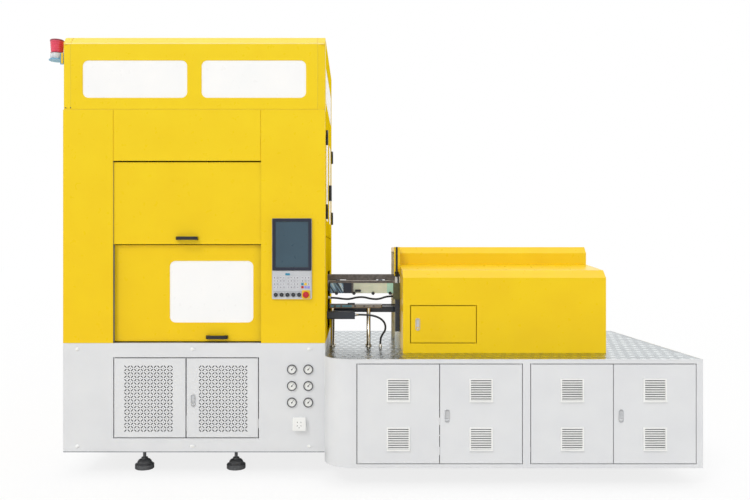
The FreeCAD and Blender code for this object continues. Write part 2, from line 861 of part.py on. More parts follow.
def base_panels():
    """Four folded panels round the base: the front one has a door opening and holes for gauges and socket."""
    height = "bed_top - edge_play - skirt_z"
    front = tray("base_front_pan", "tower_x0", "tower_y0", "skirt_z", "tower_w", "fold", height, "+Y")
    ring = frame_ring("base_front_ring", GRILLE_X, "tower_y0", GRILLE_Z, GRILLE_SPAN, GRILLE_OPEN, "fold")
    opening = box(
        "base_front_opening", GRILLE_X, "tower_y0 - 1", GRILLE_Z, GRILLE_SPAN, "fold + 2", GRILLE_OPEN,
    )
    holes = [opening]
    for side in ("left", "right"):
        x = f"{GRILLE_X} + seam" if side == "left" else f"{GRILLE_X} + 2 * seam + {GRILLE_W}"
        holes += pin_holes(f"grille_{side}", x, "tower_y0", f"{GRILLE_Z} + seam", GRILLE_W, GRILLE_H, side)
    for i, (x, z) in enumerate(gauge_places()):
        holes.append(rod(f"gauge_hole_{i + 1}", x, "tower_y0 - 1", z, "gauge_radius * 0.8", "fold", "+Y"))
    holes.append(box("socket_hole", f"{TOWER_RIGHT} - socket_right - socket_side / 2 + 12", "tower_y0 - 1",
                     "socket_z + 12", "socket_side - 24", "fold", "socket_side - 24"))
    parts = [cut("base_front_panel", fuse("base_front_whole", front, ring), *holes)]
    side_d = "tower_d - 2 * fold - 2 * edge_play"
    parts.append(
        tray(
            "base_left_panel", "tower_x0", "tower_y0 + fold + edge_play", "skirt_z", "fold", side_d, height,
            "+X",
        )
    )
    parts.append(tray("base_right_panel", f"{TOWER_RIGHT} - fold", "tower_y0 + fold + edge_play", "skirt_z",
                      "fold", side_d, height, "-X"))
    parts.append(
        tray(
            "base_rear_panel", "tower_x0", f"{TOWER_BACK} - fold", "skirt_z", "tower_w", "fold", height,
            "-Y",
        )
    )
    screw_rows = ("skirt_z + screw_inset_z", "bed_top - screw_inset_z")
    for i, (x, z) in enumerate(
        (x, z)
        for z in screw_rows
        for x in ("tower_x0 + screw_inset_x", "tower_x0 + tower_w / 2", f"{TOWER_RIGHT} - screw_inset_x")
    ):
        parts.append(rod(f"panel_screw_{i + 1}", x, "tower_y0", z, "screw_radius", "3", "-Y"))
    node("base_panels", group("base_panel_set", *parts))


def gauges():
    """Six gauges: a turned case with a rim and a recessed dial, and a needle on a pin."""
    cases = []
    dial = "gauge_depth - 6"
    for i, (x, z) in enumerate(gauge_places()):
        cases.append(turned(
            f"gauge_case_{i + 1}",
            [
                ("0", "-fold"), ("gauge_radius * 0.75", "-fold"), ("gauge_radius * 0.75", "0"),
                ("gauge_radius", "0"), ("gauge_radius", "gauge_depth"), ("gauge_radius - 4", "gauge_depth"),
                ("gauge_radius - 4", dial), ("0", dial),
            ],
            x, "tower_y0", z, "-Y",
        ))
        name = f"gauge_needle_{i + 1}"
        pointer = prism(
            name + "_pointer", "XZ",
            [
                ("-1.6", "-needle_length / 3"), ("1.6", "-needle_length / 3"), ("0.6", "needle_length"),
                ("-0.6", "needle_length"),
            ],
            "1.5", x, f"tower_y0 - ({dial}) - 1.5", z,
        )
        pointer.Placement = Placement(pointer.Placement.Base, Rotation(Vector(0, 1, 0), NEEDLE_LEAN))
        hub = rod(name + "_hub", x, f"tower_y0 - ({dial}) - 0.3", z, "4", "3.2", "-Y")
        node(name, fuse(name + "_whole", pointer, hub))
    node("gauge_cases", group("gauge_case_set", *cases))


def socket_outlet():
    """A square wall socket: rounded box with two round-ended slots below an upright pair."""
    x, y = f"{TOWER_RIGHT} - socket_right - socket_side / 2", "tower_y0 - socket_depth"
    body = rounded("socket_body", x, y, "socket_z", "socket_side", "socket_depth", "socket_side", "6")
    middle = f"{TOWER_RIGHT} - socket_right"
    rows, columns = ("socket_side * 0.58", "socket_side * 0.3"), ("-socket_pin", "socket_pin")
    places = [(dx, dz) for dz in rows for dx in columns] + [("0", "socket_side * 0.16")]
    slots = []
    for i, (dx, dz) in enumerate(places):
        slots.append(box(f"socket_slot_{i + 1}", f"{middle} + {dx} - socket_slot_w / 2", f"{y} - 1",
                         f"socket_z + {dz}", "socket_slot_w", "3 * socket_slot_w", "socket_slot_h"))
    node("socket_outlet", cut("socket_outlet_body", body, *slots))


# ---------------------------------------------------------------- front of the tower
def front_panels():
    """Left and right columns, the panel above the doors, and the strips behind its joints."""
    high = f"{BAND_Z} - seam - bed_top"
    left = prism(
        "left_column",
        "XY",
        [
            ("0", "0"), ("left_column_w", "0"), ("left_column_w", "sheet"), ("sheet", "sheet"),
            ("sheet", "fold"), ("0", "fold"),
        ],
        high, "tower_x0", "tower_y0", "bed_top",
    )
    right = prism(
        "right_column_sheet",
        "XY",
        [
            ("0", "0"), ("-right_column_w", "0"), ("-right_column_w", "sheet"), ("-sheet", "sheet"),
            ("-sheet", "fold"), ("0", "fold"),
        ],
        high, TOWER_RIGHT, "tower_y0", "bed_top",
    )
    window = box(
        "control_hole", f"{CONTROL_X} + 11", "tower_y0 - 1", "control_z + 11", "control_w - 22", "fold",
        "control_height - 22",
    )
    name_x, name_w = f"{DOOR_X} + seam", f"{DOOR_W} - 2 * seam"
    upper = box(
        "name_panel", name_x, "tower_y0", f"{NAME_Z} + seam", name_w, "sheet",
        "name_panel_height - 2 * seam",
    )
    strips = []
    for end, x in (("left", DOOR_X), ("right", f"{DOOR_X} + {DOOR_W} - 1.5 * door_lap")):
        strips.append(box(f"joint_strip_{end}", x, "tower_y0 + sheet", f"{NAME_Z} + seam", "1.5 * door_lap",
                          "sheet", "name_panel_height - 2 * seam"))
    node("front_panels", group("front_panel_set", left, cut("right_column", right, window), upper, *strips))


HANDLE_MID_X = "(tower_x0 + left_column_w + (tower_w - left_column_w - right_column_w) / 2)"
DOOR_SHEET_X = "(tower_x0 + left_column_w - door_lap)"
DOOR_SHEET_W = "(tower_w - left_column_w - right_column_w + 2 * door_lap)"


def lifting_doors():
    """The middle door in the front slots and the lower door, with its window, in the slots behind them."""
    front = "tower_y0 + door_front_play"
    x, wide = DOOR_SHEET_X, DOOR_SHEET_W
    middle = tray("middle_door_pan", x, front, f"{MIDDLE_Z} + seam / 2", wide, "door_depth",
                  "middle_door_height - seam", "+Y")
    node("middle_door", middle)
    behind = f"{front} + door_step"
    pan = tray("lower_door_pan", x, behind, f"{LOWER_Z} + seam / 2", wide, "door_depth",
               "lower_door_height - seam", "+Y")
    win_x, win_z = f"{DOOR_X} + lower_window_left", f"{LOWER_Z} + lower_window_low"
    win_w = f"{DOOR_W} - lower_window_left - lower_window_right"
    opening = rounded(
        "lower_window_opening", win_x, f"{behind} - 1", win_z, win_w, "fold", "lower_window_height",
        "window_round",
    )
    node("lower_door", cut("lower_door_sheet", pan, opening))
    glass = rounded(
        "lower_window_glass", f"{win_x} - pane_lap", f"{behind} + sheet", f"{win_z} - pane_lap",
        f"{win_w} + 2 * pane_lap", "pane", "lower_window_height + 2 * pane_lap", "window_round + pane_lap",
    )
    node("lower_door_window", glass)
    node(
        "middle_door_handle",
        bridge_handle("middle_handle", HANDLE_MID_X, front, f"{MIDDLE_Z} + middle_handle_z"),
    )
    node("lower_door_handle", bridge_handle(
        "lower_handle", f"{DOOR_X} + {DOOR_W} - lower_handle_right", behind, f"{LOWER_Z} + lower_handle_z"))


def hood_grooves():
    """The shallow grooves along both folds of the hood, up its front and over its slope."""
    deep, flat = "hood_groove_d", "hood_height - hood_slope"
    section = [
        ("-1", "-1"), (deep, "-1"), (deep, f"{flat} - 0.4 * {deep}"), (
            f"hood_slope + 1.4 * {deep} + 1", "hood_height + 1",
        ),
        ("hood_slope - 4", "hood_height + 1"), ("-1", f"{flat} + 4"),
    ]
    middles = (("left", "tower_x0 + hood_fold_w"), ("right", f"{TOWER_RIGHT} - hood_fold_w"))
    return [
        prism(
            f"hood_groove_{side}", "YZ", section, "hood_groove_w", f"{x} - hood_groove_w / 2", "tower_y0",
            BAND_Z,
        )
        for side, x in middles
    ]


HOOD_WIN_W = "((tower_w - hood_window_side - hood_window_right - hood_mullion) / 2)"
HOOD_WIN_Z = f"({BAND_Z} + hood_window_low)"


def hood():
    """The folded cap over the front, with leaning outer strips, a sloped top edge and two windows."""
    outer = prism(
        "hood_block", "XY",
        [
            ("0", "hood_fold_d"), ("hood_fold_w", "0"), ("tower_w - hood_fold_w", "0"),
            ("tower_w", "hood_fold_d"), ("tower_w", "hood_depth"), ("0", "hood_depth"),
        ],
        "hood_height", "tower_x0", "tower_y0", BAND_Z,
    )
    inner = prism(
        "hood_hollow", "XY",
        [("sheet", "hood_fold_d + sheet"), ("hood_fold_w", "sheet"), ("tower_w - hood_fold_w", "sheet"),
         ("tower_w - sheet", "hood_fold_d + sheet"), ("tower_w - sheet", "hood_depth + 1"),
         ("sheet", "hood_depth + 1")],
        "hood_height - sheet + 1", "tower_x0", "tower_y0", f"{BAND_Z} - 1",
    )

    def slope(name, lower, x, wide):
        points = [("-1", f"-hood_slope - 1 - {lower}"), (f"hood_slope + {lower} + 1", "1"), ("-1", "1")]
        return prism(name, "YZ", points, wide, x, "tower_y0", TOWER_TOP)

    block = cut("hood_outer", outer, slope("hood_slope_cut", "0", "tower_x0 - 1", "tower_w + 2"))
    hollow = cut("hood_inner", inner, slope("hood_slope_inner", "sheet", "tower_x0 - 1", "tower_w + 2"))
    windows, panes = [], []
    second = f"tower_x0 + hood_window_side + {HOOD_WIN_W} + hood_mullion"
    for i, x in enumerate(("tower_x0 + hood_window_side", second)):
        windows.append(rounded(f"hood_window_{i + 1}", x, "tower_y0 - 1", HOOD_WIN_Z, HOOD_WIN_W, "fold / 2",
                               "hood_window_height", "window_round"))
        panes.append(rounded(
            f"hood_pane_{i + 1}", f"{x} - pane_lap", "tower_y0 + sheet", f"{HOOD_WIN_Z} - pane_lap",
            f"{HOOD_WIN_W} + 2 * pane_lap", "pane", "hood_window_height + 2 * pane_lap",
            "window_round + pane_lap"))
    node("front_hood", cut("hood_shell", block, hollow, *windows, *hood_grooves()))
    return panes


SIDE_Y = "(tower_y0 + side_door_front)"
SIDE_D = "(tower_d - side_door_front - side_door_back)"
SIDE_LEAF = "((tower_d - side_door_front - side_door_back - 3 * seam) / 2)"
SIDE_H = f"({BAND_Z} - side_door_low - seam)"
HINGE_ROWS = ("side_door_low + side_hinge_z", f"{BAND_Z} - side_hinge_z")


def enclosure_panels(panes):
    """Side panels, rear panel and roof of the tower, with a door opening and the barrel's way on the right.

    Returns the moving halves of the side doors' hinges.
    """
    high = f"{TOWER_TOP} - sheet - bed_top"
    front, deep = "tower_y0 + fold + edge_play", "tower_d - 2 * fold - 2 * edge_play"
    notch_z = f"{BAND_Z} - seam"
    parts, moving_hinges = [], {"front": [], "rear": []}
    for side in ("left", "right"):
        x = "tower_x0" if side == "left" else f"{TOWER_RIGHT} - fold"
        way = "+X" if side == "left" else "-X"
        pan = tray(f"{side}_side_pan", x, front, "bed_top", "fold", deep, high, way)
        holes = [box(f"{side}_hood_notch", f"{x} - 1", "tower_y0", notch_z, "fold + 2",
                     "hood_depth + edge_play", f"{TOWER_TOP} - ({notch_z})")]
        if side == "right":
            holes.append(
                box("side_door_hole", f"{x} - 1", SIDE_Y, "side_door_low", "fold + 2", SIDE_D, SIDE_H)
            )
            holes.append(box("barrel_way", f"{x} - 1", "tower_y0 + barrel_y - barrel_way_w / 2",
                             "bed_top + seam + fold", "fold + 2", "barrel_way_w", "barrel_way_height"))
            window = rounded(
                "side_window", f"{x} - 1", "tower_y0 + hood_depth + side_window_front", HOOD_WIN_Z,
                "fold + 2", "tower_d - hood_depth - side_window_front - side_door_back",
                "hood_window_height", "window_round", "x",
            )
            holes.append(window)
            panes.append(rounded(
                "side_pane", f"{x} + fold - sheet - pane",
                "tower_y0 + hood_depth + side_window_front - pane_lap",
                f"{HOOD_WIN_Z} - pane_lap", "pane",
                "tower_d - hood_depth - side_window_front - side_door_back + 2 * pane_lap",
                "hood_window_height + 2 * pane_lap", "window_round + pane_lap", "x"))
        parts.append(cut(f"{side}_side_panel", pan, *holes))
    parts.append(
        tray("rear_panel", "tower_x0", f"{TOWER_BACK} - fold", "bed_top", "tower_w", "fold", high, "-Y")
    )
    parts.append(box("roof_panel", "tower_x0", "tower_y0 + hood_depth + edge_play", f"{TOWER_TOP} - sheet",
                     "tower_w", "tower_d - hood_depth - edge_play", "sheet"))
    for i, z in enumerate(HINGE_ROWS):
        for end, y, way in (("front", SIDE_Y, "+Y"), ("rear", f"{SIDE_Y} + {SIDE_D}", "-Y")):
            fixed, moving = butt_hinge(f"hinge_{end}_{i + 1}", TOWER_RIGHT, y, z, way)
            parts.append(fixed)
            moving_hinges[end].append(moving)
    parts.append(fitting("tower_fitting", *LINE_START, "+X"))
    node("enclosure_panels", group("enclosure_panel_set", *parts))
    node("fixed_windows", group("fixed_window_set", *panes))
    return moving_hinges


def side_doors(moving_hinges):
    """The two leaves of the right side's door, each with a window, a handle and its halves of the hinges."""
    for end in ("front", "rear"):
        y = f"{SIDE_Y} + seam" if end == "front" else f"{SIDE_Y} + 2 * seam + {SIDE_LEAF}"
        name, x = f"side_door_{end}", f"{TOWER_RIGHT} - door_depth"
        z, high = "side_door_low + seam", f"{SIDE_H} - 2 * seam"
        pan = tray(name + "_pan", x, y, z, "door_depth", SIDE_LEAF, high, "-X")
        opening = rounded(
            name + "_opening", f"{x} - 1", f"{y} + side_window_margin", f"{z} + side_window_low", "fold",
            f"{SIDE_LEAF} - 2 * side_window_margin", f"{high} - 2 * side_window_low", "window_round", "x",
        )
        glass = rounded(
            name + "_glass", f"{TOWER_RIGHT} - sheet - pane", f"{y} + side_window_margin - pane_lap",
            f"{z} + side_window_low - pane_lap", "pane",
            f"{SIDE_LEAF} - 2 * side_window_margin + 2 * pane_lap",
            f"{high} - 2 * side_window_low + 2 * pane_lap", "window_round + pane_lap", "x",
        )
        grip_y = f"{y} + side_grip_inset - side_grip_w"
        if end == "front":
            grip_y = f"{y} + {SIDE_LEAF} - side_grip_inset"
        grip = rounded(name + "_grip", TOWER_RIGHT, grip_y, "side_grip_z", "handle_reach / 2", "side_grip_w",
                       "handle_length * 0.8", "5", "z")
        node(name, group(name + "_set", cut(name + "_sheet", pan, opening), glass, grip, *moving_hinges[end]))


# ---------------------------------------------------------------- control panel
CONTROL_X = f"({TOWER_RIGHT} - control_inset - control_w)"
CONTROL_FRONT = "(tower_y0 - control_proud)"
BUTTON_Z = "(control_z + button_row)"


def control_panel():
    """The control housing with its screen, key pads and the yellow ring round the stop button."""
    bezel = rounded("control_bezel", CONTROL_X, CONTROL_FRONT, "control_z", "control_w", "control_proud",
                    "control_height", "8")
    back = box("control_back_box", f"{CONTROL_X} + 12", "tower_y0", "control_z + 12", "control_w - 24",
               "control_back", "control_height - 24")
    screen_z = "control_z + control_height - screen_border - screen_height"
    recess = box("screen_recess", f"{CONTROL_X} + screen_border", f"{CONTROL_FRONT} - 1", screen_z,
                 "control_w - 2 * screen_border", "3", "screen_height")
    screen = box(
        "control_screen", f"{CONTROL_X} + screen_border + 0.2", f"{CONTROL_FRONT} - 0.5",
        f"{screen_z} + 0.2", "control_w - 2 * screen_border - 0.4", "2.5", "screen_height - 0.4",
    )
    holes = [recess]
    for i in range(5):
        holes.append(rod(f"button_bore_{i + 1}", button_x(i), f"{CONTROL_FRONT} - 1", BUTTON_Z,
                         "button_radius - 1.5 + pin_play", "control_proud + 12", "+Y"))
    holes.append(rod("stop_bore", STOP_X, f"{CONTROL_FRONT} - 1", BUTTON_Z, "stop_radius / 2 + pin_play",
                     "control_proud + 12", "+Y"))
    housing = cut("control_housing", fuse("control_whole", bezel, back), *holes)
    keys = []
    key_w, key_h, gap = "key_w", "key_height", "key_gap"
    for block, (start, columns) in enumerate((("key_block_1", 3), ("key_block_2", 3), ("key_block_3", 2))):
        for i in range(columns):
            for j in range(4):
                keys.append(
                    box(
                        f"key_{block + 1}_{i + 1}_{j + 1}",
                        f"{CONTROL_X} + {start} + {i} * (key_w + key_gap)", f"{CONTROL_FRONT} - 1.5",
                        f"control_z + key_row + {j} * (key_height + key_gap)", "key_w", "1.5", "key_height",
                    )
                )
    ring = turned(
        "stop_ring",
        [
            ("stop_radius / 2 + pin_play", "0"), ("stop_radius + 9", "0"), ("stop_radius + 9", "3"),
            ("stop_radius / 2 + pin_play", "3"),
        ],
        STOP_X, CONTROL_FRONT, BUTTON_Z, "-Y",
    )
    node("control_panel", group("control_panel_set", housing, screen, ring, *keys))


def button_x(i):
    return f"{CONTROL_X} + button_left + {i} * button_pitch"


STOP_X = f"({CONTROL_X} + control_w - stop_right)"


def buttons():
    """Five round push buttons and the mushroom stop button."""
    for i in range(5):
        node(f"push_button_{i + 1}", turned(
            f"push_button_body_{i + 1}",
            [("0", "-8"), ("button_radius - 1.5", "-8"), ("button_radius - 1.5", "button_travel + 2"),
             ("button_radius - 3", "button_travel + 3.5"), ("0", "button_travel + 3.5")],
            button_x(i), CONTROL_FRONT, BUTTON_Z, "-Y",
        ))
    node("emergency_stop", turned(
        "emergency_stop_body",
        [("0", "-10"), ("stop_radius / 2", "-10"), ("stop_radius / 2", "button_travel + 4"),
         ("stop_radius", "button_travel + 6"), ("stop_radius", "button_travel + 13"),
         ("stop_radius * 0.8", "button_travel + 19"), ("0", "button_travel + 21")],
        STOP_X, CONTROL_FRONT, BUTTON_Z, "-Y",
    ))


# ---------------------------------------------------------------- signal beacon
def beacon():
    """The beacon beside the hood: a bracket with a round plate, a white neck and a ribbed red lens."""
    x, y, low = "tower_x0 - beacon_out", "tower_y0 + beacon_back", "beacon_z - beacon_plate"
    reach = "beacon_radius + 8"
    disc = rod("beacon_disc", x, y, low, reach, "beacon_plate")
    arm = box("beacon_arm", x, f"{y} - {reach}", low, "beacon_out", f"2 * ({reach})", "beacon_plate")
    flange = box(
        "beacon_flange", "tower_x0 - beacon_plate", f"{y} - beacon_radius / 2",
        "beacon_z - beacon_flange_h", "beacon_plate", "beacon_radius", "beacon_flange_h",
    )
    upright = box("beacon_upright", "tower_x0 - beacon_post_x", f"{y} - {reach}",
                  "beacon_z + beacon_neck - beacon_post_h", "beacon_post_w", "beacon_plate", "beacon_post_h")
    neck = rod("beacon_neck_drum", x, y, "beacon_z", "beacon_radius * 0.98", "beacon_neck")
    node("beacon_base", group("beacon_base_set", fuse("beacon_bracket", disc, arm, flange, upright), neck))
    points = [("0", "0"), (f"beacon_radius * {LENS_TAPER}", "0")]
    for i in range(LENS_RIBS):
        low = f"4 + {i} * rib_pitch"
        wide = f"beacon_radius * {LENS_TAPER + (1 - LENS_TAPER) * i / LENS_RIBS}"
        points += [(wide, f"{low} + rib_pitch * 0.6"), (f"{wide} - 2.5", f"{low} + rib_pitch * 0.8"),
                   (wide, f"{low} + rib_pitch")]
    points += [
        ("beacon_radius", "lens_height - 11"), ("beacon_radius * 0.92", "lens_height - 3"),
        ("0", "lens_height"),
    ]
    node("beacon_lens", turned("beacon_lens_body", points, x, y, "beacon_z + beacon_neck"))


# ---------------------------------------------------------------- low cabinet
DOOR_LOW = "(cabinet_skirt_z + bay_low)"
BAY_H = f"({DECK_LOW} - bay_high - cabinet_skirt_z - bay_low)"


def bay_x(index):
    """The left edge of a cabinet door. The second pair stands beyond the mullion."""
    past_mullion = " + mullion + seam" if index > 1 else ""
    return f"({CAB_X} + bay_left + seam + {index} * ({BAY_W} + seam){past_mullion})"


def cabinet_plan(name, inset, low, high):
    """The cabinet's plan with its rounded front corner, padded upwards and drawn in by inset all round."""
    body = prism(
        name, "XY",
        [(inset, inset), (f"cabinet_l - {inset}", inset), (f"cabinet_l - {inset}", f"cabinet_d - {inset}"),
         (inset, f"cabinet_d - {inset}")],
        high, CAB_X, CAB_Y, low,
    )
    doc.recompute()
    pad = body.Tip
    corner = Vector(size(inset), size(inset), 0)
    edges = [
        f"Edge{i}"
        for i, edge in enumerate(pad.Shape.Edges, start=1)
        if all(abs(v.X - corner.x) < 1e-6 and abs(v.Y - corner.y) < 1e-6 for v in edge.Vertexes)
    ]
    fillet = body.newObject("PartDesign::Fillet", name + "_corner")
    fillet.Base = (pad, edges)
    fillet.setExpression("Radius", ref(f"corner_radius - {inset}"))
    return body


def cabinet_shell():
    """The sheet walls of the cabinet, with two door openings and their folded returns."""
    height = f"{DECK_LOW} - cabinet_skirt_z"
    outer = cabinet_plan("cabinet_outside", "0", "cabinet_skirt_z", height)
    inner = cabinet_plan("cabinet_inside", "sheet", "cabinet_skirt_z - 1", f"{height} + 2")
    walls = cut("cabinet_walls", outer, inner)
    rings, holes = [], []
    for pair in (0, 1):
        x = f"{bay_x(2 * pair)} - seam"
        wide = f"2 * {BAY_W} + 3 * seam"
        low, high = f"{DOOR_LOW} - seam", f"{BAY_H} + 2 * seam"
        rings.append(frame_ring(f"bay_ring_{pair + 1}", x, CAB_Y, low, wide, high, "fold"))
        holes.append(box(f"bay_opening_{pair + 1}", x, f"{CAB_Y} - 1", low, wide, "fold + 2", high))
        for side, index in (("left", 2 * pair), ("right", 2 * pair + 1)):
            holes += pin_holes(f"bay_{index + 1}", bay_x(index), CAB_Y, DOOR_LOW, BAY_W, BAY_H, side)
    node("cabinet_shell", cut("cabinet_shell_sheet", fuse("cabinet_folded", walls, *rings), *holes))


def deck():
    """The deck of the cabinet: a plate with the cabinet's own plan."""
    node("deck_plate", cabinet_plan("deck", "0", DECK_LOW, "deck_plate"))


def louvre_panel(name, x, z):
    """A louvre panel centred on x, its foot at z: slats open downwards, in a rim with a deeper lower lip."""
    body = doc.addObject("PartDesign::Body", name)
    pitch = f"((louvre_height - 2 * louvre_border) / {SLATS})"
    plate = outline(
        body, "XZ_Plane",
        [
            ("-louvre_w / 2", "0"), ("louvre_w / 2", "0"), ("louvre_w / 2", "louvre_height"),
            ("-louvre_w / 2", "louvre_height"),
        ],
    )
    base = body.newObject("PartDesign::Pad", name + "_plate")
    base.Profile = plate
    base.setExpression("Length", ref("sheet"))
    rim = outline(body, "XZ_Plane", [
        ("-louvre_w / 2", "0"), ("-louvre_w / 2 + louvre_border", "0"),
        ("-louvre_w / 2 + louvre_border", "louvre_height - louvre_border"),
        (
            "louvre_w / 2 - louvre_border", "louvre_height - louvre_border",
        ), ("louvre_w / 2 - louvre_border", "0"),
        ("louvre_w / 2", "0"), ("louvre_w / 2", "louvre_height"), ("-louvre_w / 2", "louvre_height")])
    lip = outline(
        body, "XZ_Plane",
        [
            ("-louvre_w / 2", "0"), ("louvre_w / 2", "0"), ("louvre_w / 2", "louvre_border"),
            ("-louvre_w / 2", "louvre_border"),
        ],
    )
    for part, sketch, proud in (("rim", rim, "louvre_frame"), ("lip", lip, "louvre_lip")):
        edge = body.newObject("PartDesign::Pad", f"{name}_{part}")
        edge.Profile = sketch
        edge.setExpression("Length", ref(proud))
    slat = outline(body, "YZ_Plane", [
        (
            "-sheet + 0.5", f"louvre_border + {pitch} * 0.95",
        ), ("-louvre_proud", f"louvre_border + {pitch} * 0.3"),
        ("-louvre_proud", f"louvre_border + {pitch} * 0.12"),
        ("-sheet + 0.5", f"louvre_border + {pitch} * 0.12")])
    hood_pad = body.newObject("PartDesign::Pad", name + "_slat")
    hood_pad.Profile = slat
    hood_pad.setExpression("Length", ref("louvre_w - 2 * louvre_border"))
    hood_pad.Midplane = True
    gap = outline(body, "YZ_Plane", [
        ("1", f"louvre_border + {pitch} * 0.78"), ("-sheet", f"louvre_border + {pitch} * 0.78"),
        ("-louvre_proud + 1.2", f"louvre_border + {pitch} * 0.2"), (
            "-louvre_proud + 1.2", f"louvre_border + {pitch} * 0.02",
        ),
        ("1", f"louvre_border + {pitch} * 0.02")])
    slot = body.newObject("PartDesign::Pocket", name + "_gap")
    slot.Profile = gap
    slot.setExpression("Length", ref("louvre_w - 2 * louvre_border - 4"))
    slot.Midplane = True
    repeat = body.newObject("PartDesign::LinearPattern", name + "_repeat")
    repeat.Originals = [hood_pad, slot]
    repeat.Direction = (plate, ["V_Axis"])
    repeat.setExpression("Length", ref(f"{pitch} * {SLATS - 1}"))
    repeat.Occurrences = SLATS
    body.Tip = repeat
    return put(body, x, CAB_Y, z)


def cabinet_doors():
    """Four doors in two pairs, each with two louvre panels over holes. The second and fourth have locks."""
    for index in range(4):
        side = "left" if index % 2 == 0 else "right"
        name, x = f"cabinet_door_{index + 1}", bay_x(index)
        pan = swung_door(name, x, CAB_Y, DOOR_LOW, BAY_W, BAY_H, side)
        panels, holes = [], []
        for row in range(2):
            low = f"{DOOR_LOW} + louvre_low + {row} * louvre_pitch"
            panels.append(louvre_panel(f"{name}_louvre_{row + 1}", f"{x} + {BAY_W} / 2", low))
            holes.append(
                box(
                    f"{name}_vent_{row + 1}", f"{x} + {BAY_W} / 2 - louvre_w / 2 + louvre_border",
                    f"{CAB_Y} - 1", f"{low} + louvre_border", "louvre_w - 2 * louvre_border", "fold",
                    "louvre_height - 2 * louvre_border",
                )
            )
        if side == "left":
            node(name, group(name + "_set", cut(name + "_sheet", pan, *holes), *panels))
            continue
        housing, lever, hole = door_lock(f"{name}_lock", f"{x} + lock_inset", CAB_Y, "cabinet_lock_z")
        node(name, group(name + "_set", cut(name + "_sheet", pan, hole, *holes), housing, *panels))
        node(f"{name}_lock_lever", lever)


# ---------------------------------------------------------------- covers of the injection unit
HATCH_X = f"({COVER_X} + hatch_left)"


def cover_profile(name, x, y, z, top, length, inset="0"):
    """A sheet hood along X: the section below its top's corners, front to back, drawn in by inset."""
    (_, front_z), (back_y, back_z) = top[0], top[-1]
    points = [(inset, "0"), (inset, f"{front_z} - {inset}")]
    points += [(corner_y, f"{corner_z} - {inset}") for corner_y, corner_z in top[1:-1]]
    points += [(f"{back_y} - {inset}", f"{back_z} - {inset}"), (f"{back_y} - {inset}", "0")]
    return prism(name, "YZ", points, length, x, y, z)


def injection_covers():
    """The lower front cover, with the hatch opening in its face, and the taller rear cover behind it."""
    slope_top = "cover_front_z + cover_slope_z"
    low_top = [
        ("0", "cover_front_z"), ("cover_slope", slope_top), ("front_cover_d", f"{slope_top} + cover_rise"),
    ]
    front = cover_profile("front_cover_out", COVER_X, COVER_Y, "deck_z", low_top, "cover_l")
    hollow = cover_profile("front_cover_in", f"{COVER_X} + sheet", COVER_Y, "deck_z - 1", low_top,
                           "cover_l - 2 * sheet", "sheet")
    x, z, w, high = HATCH_X, "deck_z + hatch_low", "hatch_w", "hatch_height"
    ring = frame_ring(
        "hatch_ring", f"{x} - seam", COVER_Y, f"{z} - seam", f"{w} + 2 * seam", f"{high} + 2 * seam", "fold",
    )
    hole = box("hatch_opening", f"{x} - seam", f"{COVER_Y} - 1", f"{z} - seam", f"{w} + 2 * seam", "fold + 2",
               f"{high} + 2 * seam")
    shell = fuse("front_cover_whole", cut("front_cover_shell", front, hollow), ring)
    front_cover = cut("front_cover", shell, hole, *pin_holes("hatch", x, COVER_Y, z, w, high, "right"))
    ridge = "rear_cover_z + rear_slope"
    high_top = [("0", "rear_cover_z"), ("rear_slope", ridge), ("rear_cover_d - rear_slope", ridge),
                ("rear_cover_d", "rear_cover_z")]
    rear = cover_profile("rear_cover_out", COVER_X, REAR_Y, "deck_z", high_top, "cover_l")
    space = cover_profile(
        "rear_cover_in", f"{COVER_X} - 1", REAR_Y, "deck_z - 1", high_top, "cover_l - sheet + 1", "sheet",
    )
    node("injection_covers", group("injection_cover_set", front_cover, cut("rear_cover", rear, space),
                                   fitting("cover_fitting", *LINE_END, "-X")))
    pan = swung_door("hatch", x, COVER_Y, z, w, high, "right")
    housing, lever, lock_hole = door_lock("hatch_lock", f"{x} + lock_inset", COVER_Y, f"{z} + {high} / 2")
    node("cover_hatch", group("cover_hatch_set", cut("hatch_sheet", pan, lock_hole), housing))
    node("hatch_lock_lever", lever)


# ---------------------------------------------------------------- injection unit
BARREL_Y = "(tower_y0 + barrel_y)"
NOZZLE_X = f"({PRESS_X} + station + mould_half + edge_play)"
RAIL_X = f"({PRESS_X} + station + mould_half + rail_start)"
RAIL_L = f"({COVER_X} + cover_l - 60 - {RAIL_X})"
PORTAL_X = f"({COVER_X} - portal - edge_play)"
GUARD_Y = "(tower_y0 + barrel_y - guard_half)"
GUARD_BAR_Z = "(guard_low + guard_height)"
GUARD_HINGES = (f"{TOWER_RIGHT} + guard_hinge_inset", f"{PORTAL_X} - guard_hinge_inset - 2 * guard_knuckle_l")


